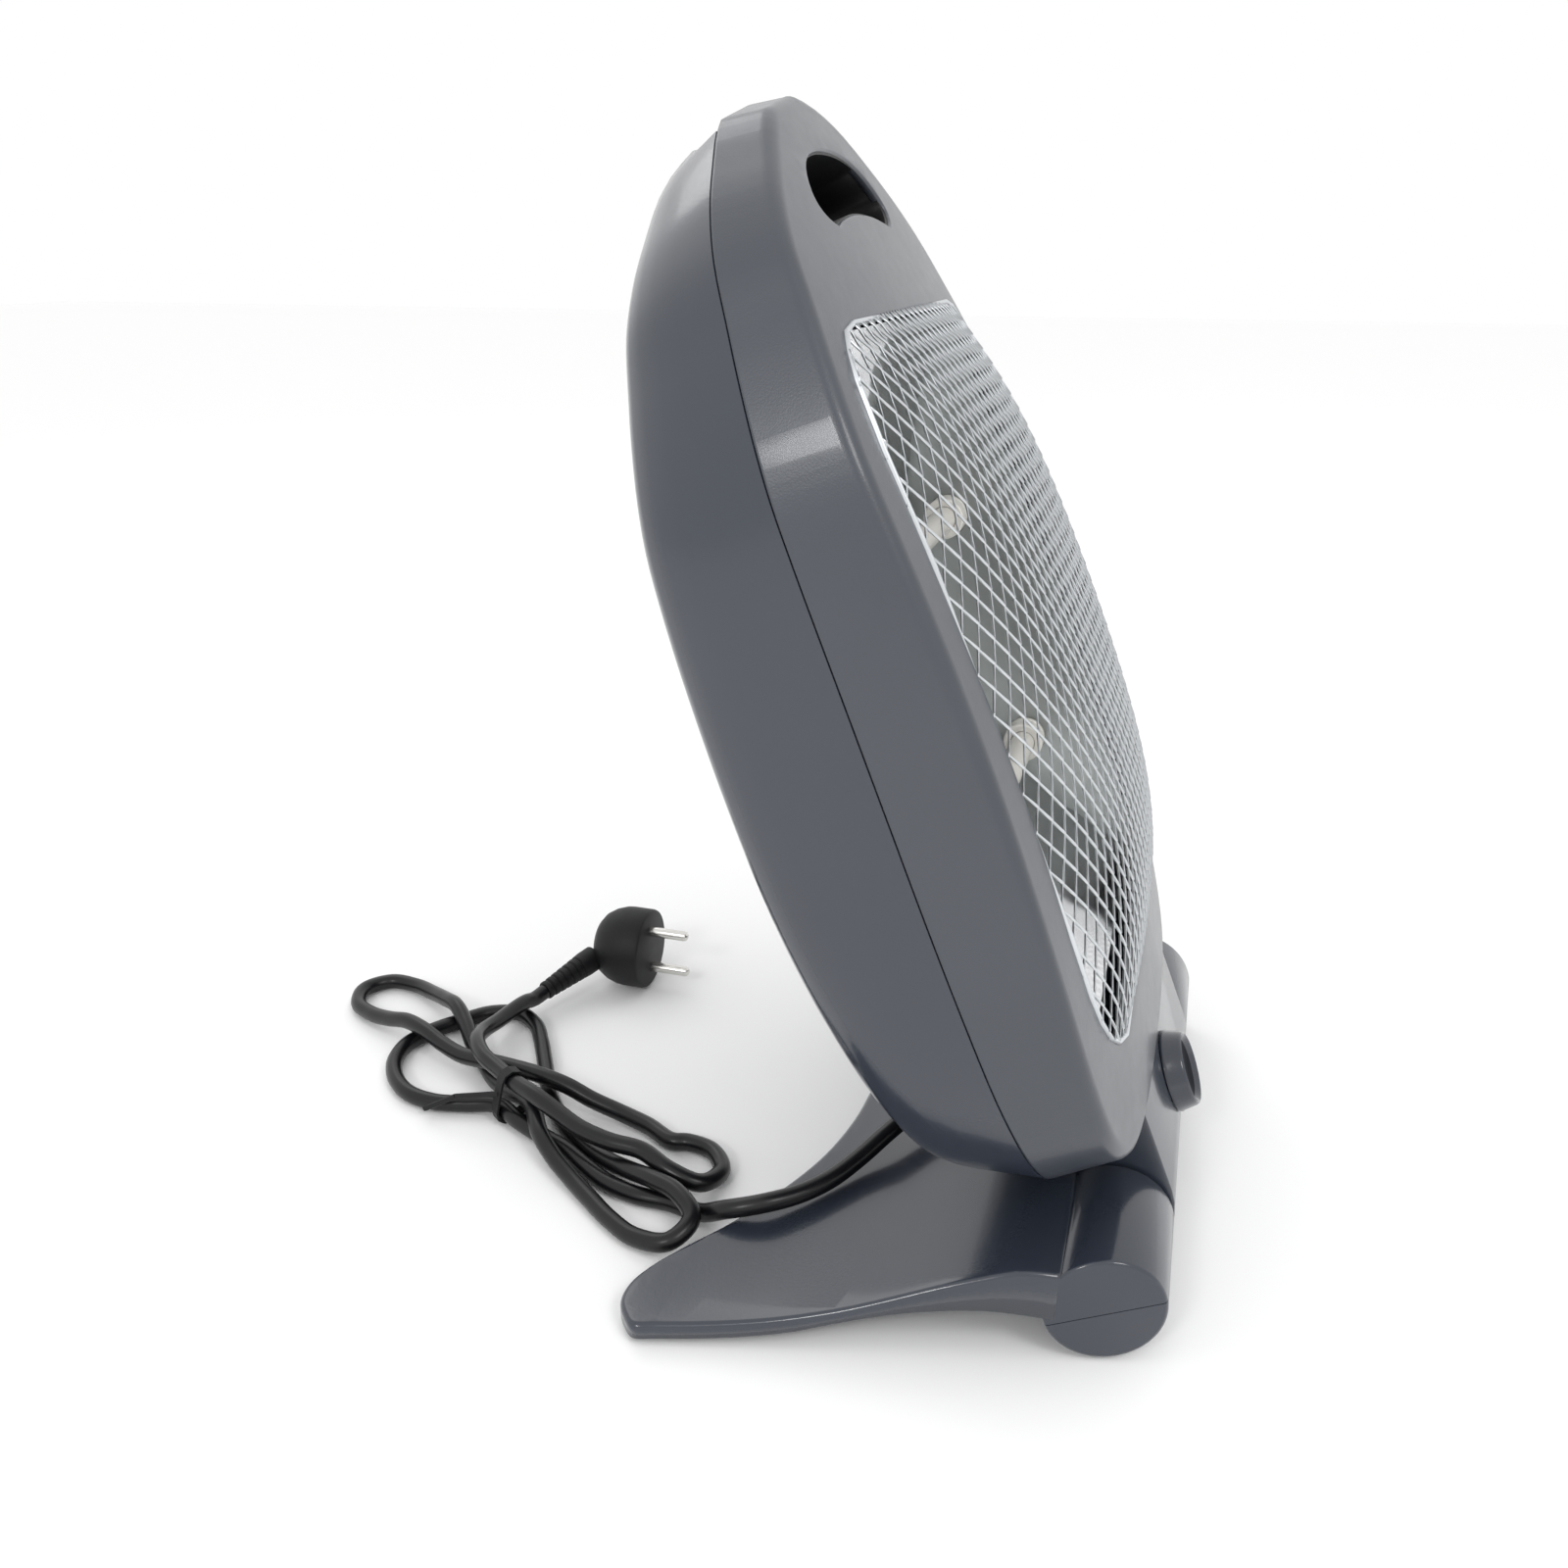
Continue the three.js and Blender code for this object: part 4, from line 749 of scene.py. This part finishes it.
# %% Tubes and caps
TUBE_Y = 11
TUBES = {"upper": 232, "lower": 132}
CAP_FACE = 98.3  # where a cap's closed outer face stands
TUBE_PROFILE = [(4.2, -96), (5, -95.4), (5, 95.4), (4.2, 96)]
CAP_PROFILE = [(5.2, -17.5), (7.6, -18), (8.2, -17.4), (8.2, -11), (7.4, -10.4), (7.4, -8.6),
               (8.2, -8), (8.2, -0.8), (7.4, 0), (0, 0)]
for place, z in TUBES.items():
    tube = turned(TUBE_PROFILE, (0, TUBE_Y, z), (1, 0, 0), 40)
    hand_over(tube, f"quartz_tube_{place}", HEAD, milky_quartz, "head", f"tube_{place}")
    for side, word in ((1, "right"), (-1, "left")):
        cap = turned(CAP_PROFILE, (CAP_FACE * side, TUBE_Y, z), (side, 0, 0), 40)
        hand_over(cap, f"ceramic_cap_{place}_{word}", HEAD, white_ceramic, "head",
                          f"cap_{place}_{word}")

# %% [markdown]
# The finger hole is lined with a black pocket: a tapering cup whose floor is closed. It follows
# the hole's own outline, so the gap to the shell stays even all round.

# %% Handle pocket
cup_rings = [behind_face(hole_ring(grow), back) for grow, back in ((-0.3, 1.2), (-0.9, 0.8), (-1.8, 1.3))]
for grow, y in ((-2.6, 4.0), (-4.2, 8.0), (-8.5, 8.8)):
    cup_rings.append(at_depth(hole_ring(grow), lambda x, z: y))
pocket = hand_over(lofted(cup_rings), "handle_pocket", HEAD, black_plastic, "head", "handle_liner", sharp=50)

# %% [markdown]
# The knob has a slightly conical skirt, a rounded rim and a dished face with a grip bar across
# it. Skirt and dish are spun in one profile. A dark disc spun into the dish is painted shade,
# where the real dish lies in its own shade, and the bar is a small box with bevelled edges.

# %% Knob
KNOB_Z, KNOB_BACK, KNOB_FACE = 14, -20.8, -28.3
GRIP_SIZE, GRIP_ROUND = (4.2, 2.4, 20), 1.1
SKIRT = [(0, KNOB_FACE + 4.6), (9, KNOB_FACE + 4.3), (10.8, KNOB_FACE + 3.2), (12.2, KNOB_FACE + 0.5),
         (13.0, KNOB_FACE), (13.6, KNOB_FACE + 0.3), (14.0, KNOB_FACE + 1.1), (15.2, KNOB_BACK - 1.4),
         (15.5, KNOB_BACK - 1), (15.5, KNOB_BACK), (0, KNOB_BACK)]
# Profile of a dark disc that paints the shade inside the knob's dish.
DISH_SHADE_PROFILE = [(0, KNOB_FACE + 4.1), (8.8, KNOB_FACE + 3.9), (10.6, KNOB_FACE + 2.9), (11.3, KNOB_FACE + 1.9),
          (11.3, KNOB_FACE + 4.8), (0, KNOB_FACE + 4.8)]
skirt = turned(SKIRT, (0, 0, KNOB_Z), (0, 1, 0), 72)
knob = hand_over(skirt, "dished_knob", HEAD, gloss_slate, "knob", "control_knob", sharp=45)
bar = bmesh.new()
bmesh.ops.create_cube(bar, size=1)
bmesh.ops.scale(bar, vec=GRIP_SIZE, verts=bar.verts)
bmesh.ops.bevel(bar, geom=bar.edges[:], offset=GRIP_ROUND, segments=3, profile=0.5,
                affect="EDGES", material=-1)
bmesh.ops.translate(bar, vec=(0, KNOB_FACE + 4.0, KNOB_Z), verts=bar.verts)
hand_over(bar, "knob_grip", HEAD, dark_slate, "knob", sharp=50)
# Painted shade: a dark disc fills the knob's dish, where the real one lies in shade.
dish_shade_disc = turned(DISH_SHADE_PROFILE, (0, 0, KNOB_Z), (0, 1, 0), 60)
hand_over(dish_shade_disc, "knob_dish_painted_shade", HEAD, dark_slate, "knob", sharp=50)

# %% [markdown]
# The foot is a crescent plate that slopes down to two rounded legs. Its outline starts behind
# the saddle, comes forward to the barrel and follows it outwards, runs back along the leg and
# returns along the crescent. The other half is its mirror image. Two side lines give the height
# of its top and of its lower edge.

# %% Outline of the foot
CAP_X, SPLAY = 113, 0.255  # the side's x beside the hinge axis, and what it gains per mm backwards
BARREL_R, BARREL_IN = 19.4, 62.2
PLATE_IN, PLATE_FRONT, SADDLE_BACK = BARREL_IN + 0.6, 14, 36.5
TOP_LINE = [(14, 33.6), (27, 34.5), (39, 31.5), (53, 27), (68, 21.5), (83, 16.5), (105, 11.5),
            (130, 8.8), (158, 8)]
LOW_LINE = [(14, 16), (26, 18), (38, 19), (53, 18), (66, 16), (80, 12.5), (99, 7), (120, 4),
            (140, 2.8), (158, 2.4)]
LEG = [(150.3, 147), (146, 152), (140, 155.5), (132, 155.8), (122, 152), (110, 144.5), (93, 132.5),
       (70, 119.5), (48, 110), (24, 104.5), (0, 102.6)]


def flat_curve(points, per):
    return [tuple(p.xy) for p in through([(*p, 0) for p in points], per)]


def height_on(line, y):
    for (ay, az), (by, bz) in zip(line, line[1:]):
        if y <= by:
            return az + (bz - az) * max(0, y - ay) / (by - ay)
    return line[-1][1]


top_line, low_line = flat_curve(TOP_LINE, 6), flat_curve(LOW_LINE, 6)
corner, leg_start = [(CAP_X + SPLAY * y, y) for y in (PLATE_FRONT, 140)]
leg_line = flat_curve([leg_start, *LEG], 5)
right_plan = [(PLATE_IN, SADDLE_BACK), (PLATE_IN, PLATE_FRONT), corner, *leg_line[:-1]]
plan = [(0, SADDLE_BACK), *right_plan, LEG[-1], *[(-x, y) for x, y in reversed(right_plan)]]
print("points in the foot's outline", len(plan))

# %% [markdown]
# The plate itself is made as the face was: a fine flat sheet whose rim rolls over. Its last ring
# is sent far down as a mark, and the bend puts that ring on the lower side line and all the rest
# on the upper one.

# %% Foot plate
PLATE_ROUND, UNDERSIDE = 2, -400
plate = fine_sheet([inset(plan, -PLATE_ROUND)], 12, 4, facing=1)
plate_rim = [e for e in plate.edges if e.is_boundary]
rolled_rim(plate, plate_rim, quarter_round(PLATE_ROUND, 5, way=-1) + [(PLATE_ROUND, UNDERSIDE, True)])
for v in plate.verts:
    drop, along = v.co.y, v.co.z
    z = height_on(low_line, along) if drop == UNDERSIDE else height_on(top_line, along) + drop
    v.co = (v.co.x, along, z)
foot_plate = hand_over(plate, "foot_plate", FOOT, gloss_slate, "base", "base_top_shell", sharp=50)
wall(foot_plate, 2.4)

# %% [markdown]
# The barrels at both sides of the saddle are cylinders with a slanting outer end. A closed
# cylinder is bisected by the slanting plane, its rims are bevelled, and it is bisected again
# along the parting line. The upper half belongs to the plate; the lower one is screwed on.

# %% Barrels
BARREL_LONG = 90  # before its end is cut off
PARTING_Z, PARTING_GAP = 19, 0.15


def barrel(side, keep_upper):
    bm = bmesh.new()
    bmesh.ops.create_cone(bm, cap_ends=True, segments=96, radius1=BARREL_R, radius2=BARREL_R,
                          depth=BARREL_LONG)
    bmesh.ops.rotate(bm, matrix=Matrix.Rotation(math.pi / 2, 3, "Y"), verts=bm.verts)
    bmesh.ops.translate(bm, vec=(BARREL_IN + BARREL_LONG / 2, 0, AXIS_Z), verts=bm.verts)
    end = bmesh.ops.bisect_plane(bm, geom=all_of(bm), plane_co=(CAP_X, 0, 0), plane_no=(1, -SPLAY, 0),
                                 clear_outer=True)["geom_cut"]
    bmesh.ops.edgeloop_fill(bm, edges=edges_in(end))
    bm.normal_update()
    rims = [e for e in bm.edges if len(e.link_faces) == 2 and e.calc_face_angle(0) > 1]
    bmesh.ops.bevel(bm, geom=rims, offset=1.4, segments=4, profile=0.5, affect="EDGES", material=-1)
    gap = PARTING_GAP if keep_upper else -PARTING_GAP
    seam = bmesh.ops.bisect_plane(bm, geom=all_of(bm), plane_co=(0, 0, PARTING_Z + gap),
                                  plane_no=(0, -0.3, -1), clear_outer=keep_upper,
                                  clear_inner=not keep_upper)["geom_cut"]
    bmesh.ops.edgeloop_fill(bm, edges=edges_in(seam))
    bmesh.ops.scale(bm, vec=(side, 1, 1), verts=bm.verts)
    return bm


for side, word in ((1, "right"), (-1, "left")):
    upper = hand_over(barrel(side, True), f"barrel_upper_{word}", FOOT, gloss_slate, "base", sharp=40)
    lower = hand_over(barrel(side, False), f"barrel_lower_{word}", FOOT, gloss_slate, "base",
                      f"base_bottom_{word}", sharp=40)

# %% [markdown]
# The plug is a round moulded one, lying on its rim: a flat face with two pins and a back that
# rounds off. The pins have rounded tips. A sleeve with six rings leads the cord in. All of them
# are spun from profiles.

# %% Plug, pins and sleeve
PLUG_X, PLUG_Z, PIN_OFF = 69, 19, 9.5
PLUG_PROFILE = [(0, 229), (17.6, 229), (18.6, 229.5), (19, 230.6), (19, 240), (18.7, 243), (17.2, 247.5),
                (14.8, 251.4), (11.5, 254), (7, 254.9), (0, 255)]
PIN_PROFILE = [(0, 209.7), (1.2, 209.9), (2.1, 210.6), (2.4, 211.8), (2.4, 228.9), (0, 228.9)]
SLEEVE_RINGS, RING_PITCH = 6, 3.6
plug = turned(PLUG_PROFILE, (PLUG_X, 0, PLUG_Z), (0, 1, 0), 80)
plug_body = hand_over(plug, "moulded_plug", FOOT, black_rubber, "base", "plug_body", sharp=40)
sleeve_from, sleeve_to = Vector((30, 266.4, 11.2)), Vector((60, 253.6, 16))
taper = [(4.0, 0), (4.3, 0.5)]
for k in range(SLEEVE_RINGS):
    at = 2 + k * RING_PITCH
    r = 4.3 + k * 0.26
    taper += [(r, at), (r - 0.7, at + 0.5), (r - 0.7, at + 1.3), (r + 0.1, at + 1.8)]
taper += [(6, 25), (6, 31)]
cuff = turned([(0, 0), *taper, (0, 31)], sleeve_from, sleeve_to - sleeve_from, 40)
sleeve = hand_over(cuff, "plug_sleeve", FOOT, black_rubber, "base", "plug_relief", sharp=40)
for place, z in (("upper", PLUG_Z + PIN_OFF), ("lower", PLUG_Z - PIN_OFF)):
    pin = turned(PIN_PROFILE, (PLUG_X, 0, z), (0, 1, 0), 32)
    hand_over(pin, f"round_pin_{place}", FOOT, nickel, "base", f"plug_pin_{place}")

# %% [markdown]
# What is left of the CAD keeps its shape and only gets a finish.

LEFT_OVER = {
    zinc_steel: ["hinge_rod", "rod_nut_right", "rod_nut_left", "base_screw_right", "base_screw_left",
                 "shell_screw_lower_right", "shell_screw_lower_left"],
    black_rubber: ["friction_washer_right", "friction_washer_left", "pad_rear_right", "pad_rear_left",
                   "pad_front_right", "pad_front_left", "cord_tie", "cord_gland"],
    galvanised: ["end_plate_right", "end_plate_left"],
    heating_wire: ["coil_upper", "coil_lower"],
    black_plastic: ["thermal_cutout"],
    cream_plastic: ["rotary_switch", "terminal_block", "switch_shaft"],
}
for material, names in LEFT_OVER.items():
    for name in names:
        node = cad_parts[name]
        node.data.materials.clear()
        node.data.materials.append(material)
print("CAD nodes dressed as they are:", sum(map(len, LEFT_OVER.values())))

# %% [markdown]
# The stage is a pale floor and a white surround of strength 1, so colours come out about as they
# are written. The floor lies a hair under the pads. Three round lamps add the highlights along
# the shells' edges.

# %% Stage and light
FLOOR_HALF, FLOOR_Z = 6, -0.0004  # in metres
floor = bmesh.new()
bmesh.ops.create_grid(floor, x_segments=2, y_segments=2, size=FLOOR_HALF)
bmesh.ops.translate(floor, vec=(0, 0, FLOOR_Z), verts=floor.verts)
floor_mesh = bpy.data.meshes.new("floor")
floor.to_mesh(floor_mesh)
floor.free()
floor_object = bpy.data.objects.new("floor", floor_mesh)
bpy.context.collection.objects.link(floor_object)
pale_floor = Finish("pale_floor", Base_Color=(0.98, 0.98, 0.98, 1), Roughness=0.8).material
floor_object.data.materials.append(pale_floor)

world = bpy.data.worlds.new("studio")
bpy.context.scene.world = world
world.use_nodes = True
sky = world.node_tree.nodes["Background"]
sky.inputs["Color"].default_value = (1, 1, 1, 1)
sky.inputs["Strength"].default_value = 1


def soft_lamp(name, place, size, watts):
    lamp = bpy.data.lights.new(name, "AREA")
    lamp.shape = "DISK"
    lamp.size = size
    lamp.energy = watts
    made = bpy.data.objects.new(name, lamp)
    made.location = place
    made.rotation_euler = (Vector((0, 0, 0.15)) - Vector(place)).to_track_quat("-Z", "Y").to_euler()
    bpy.context.collection.objects.link(made)


soft_lamp("key", (-0.9, -1.1, 1.5), 0.6, 7)
soft_lamp("left", (-1.5, 0.35, 1.1), 0.3, 5)
soft_lamp("back", (0.9, 1.0, 1.3), 0.8, 2)
bpy.context.scene.view_settings.view_transform = "Standard"
print("lamps made:", len(bpy.data.lights))
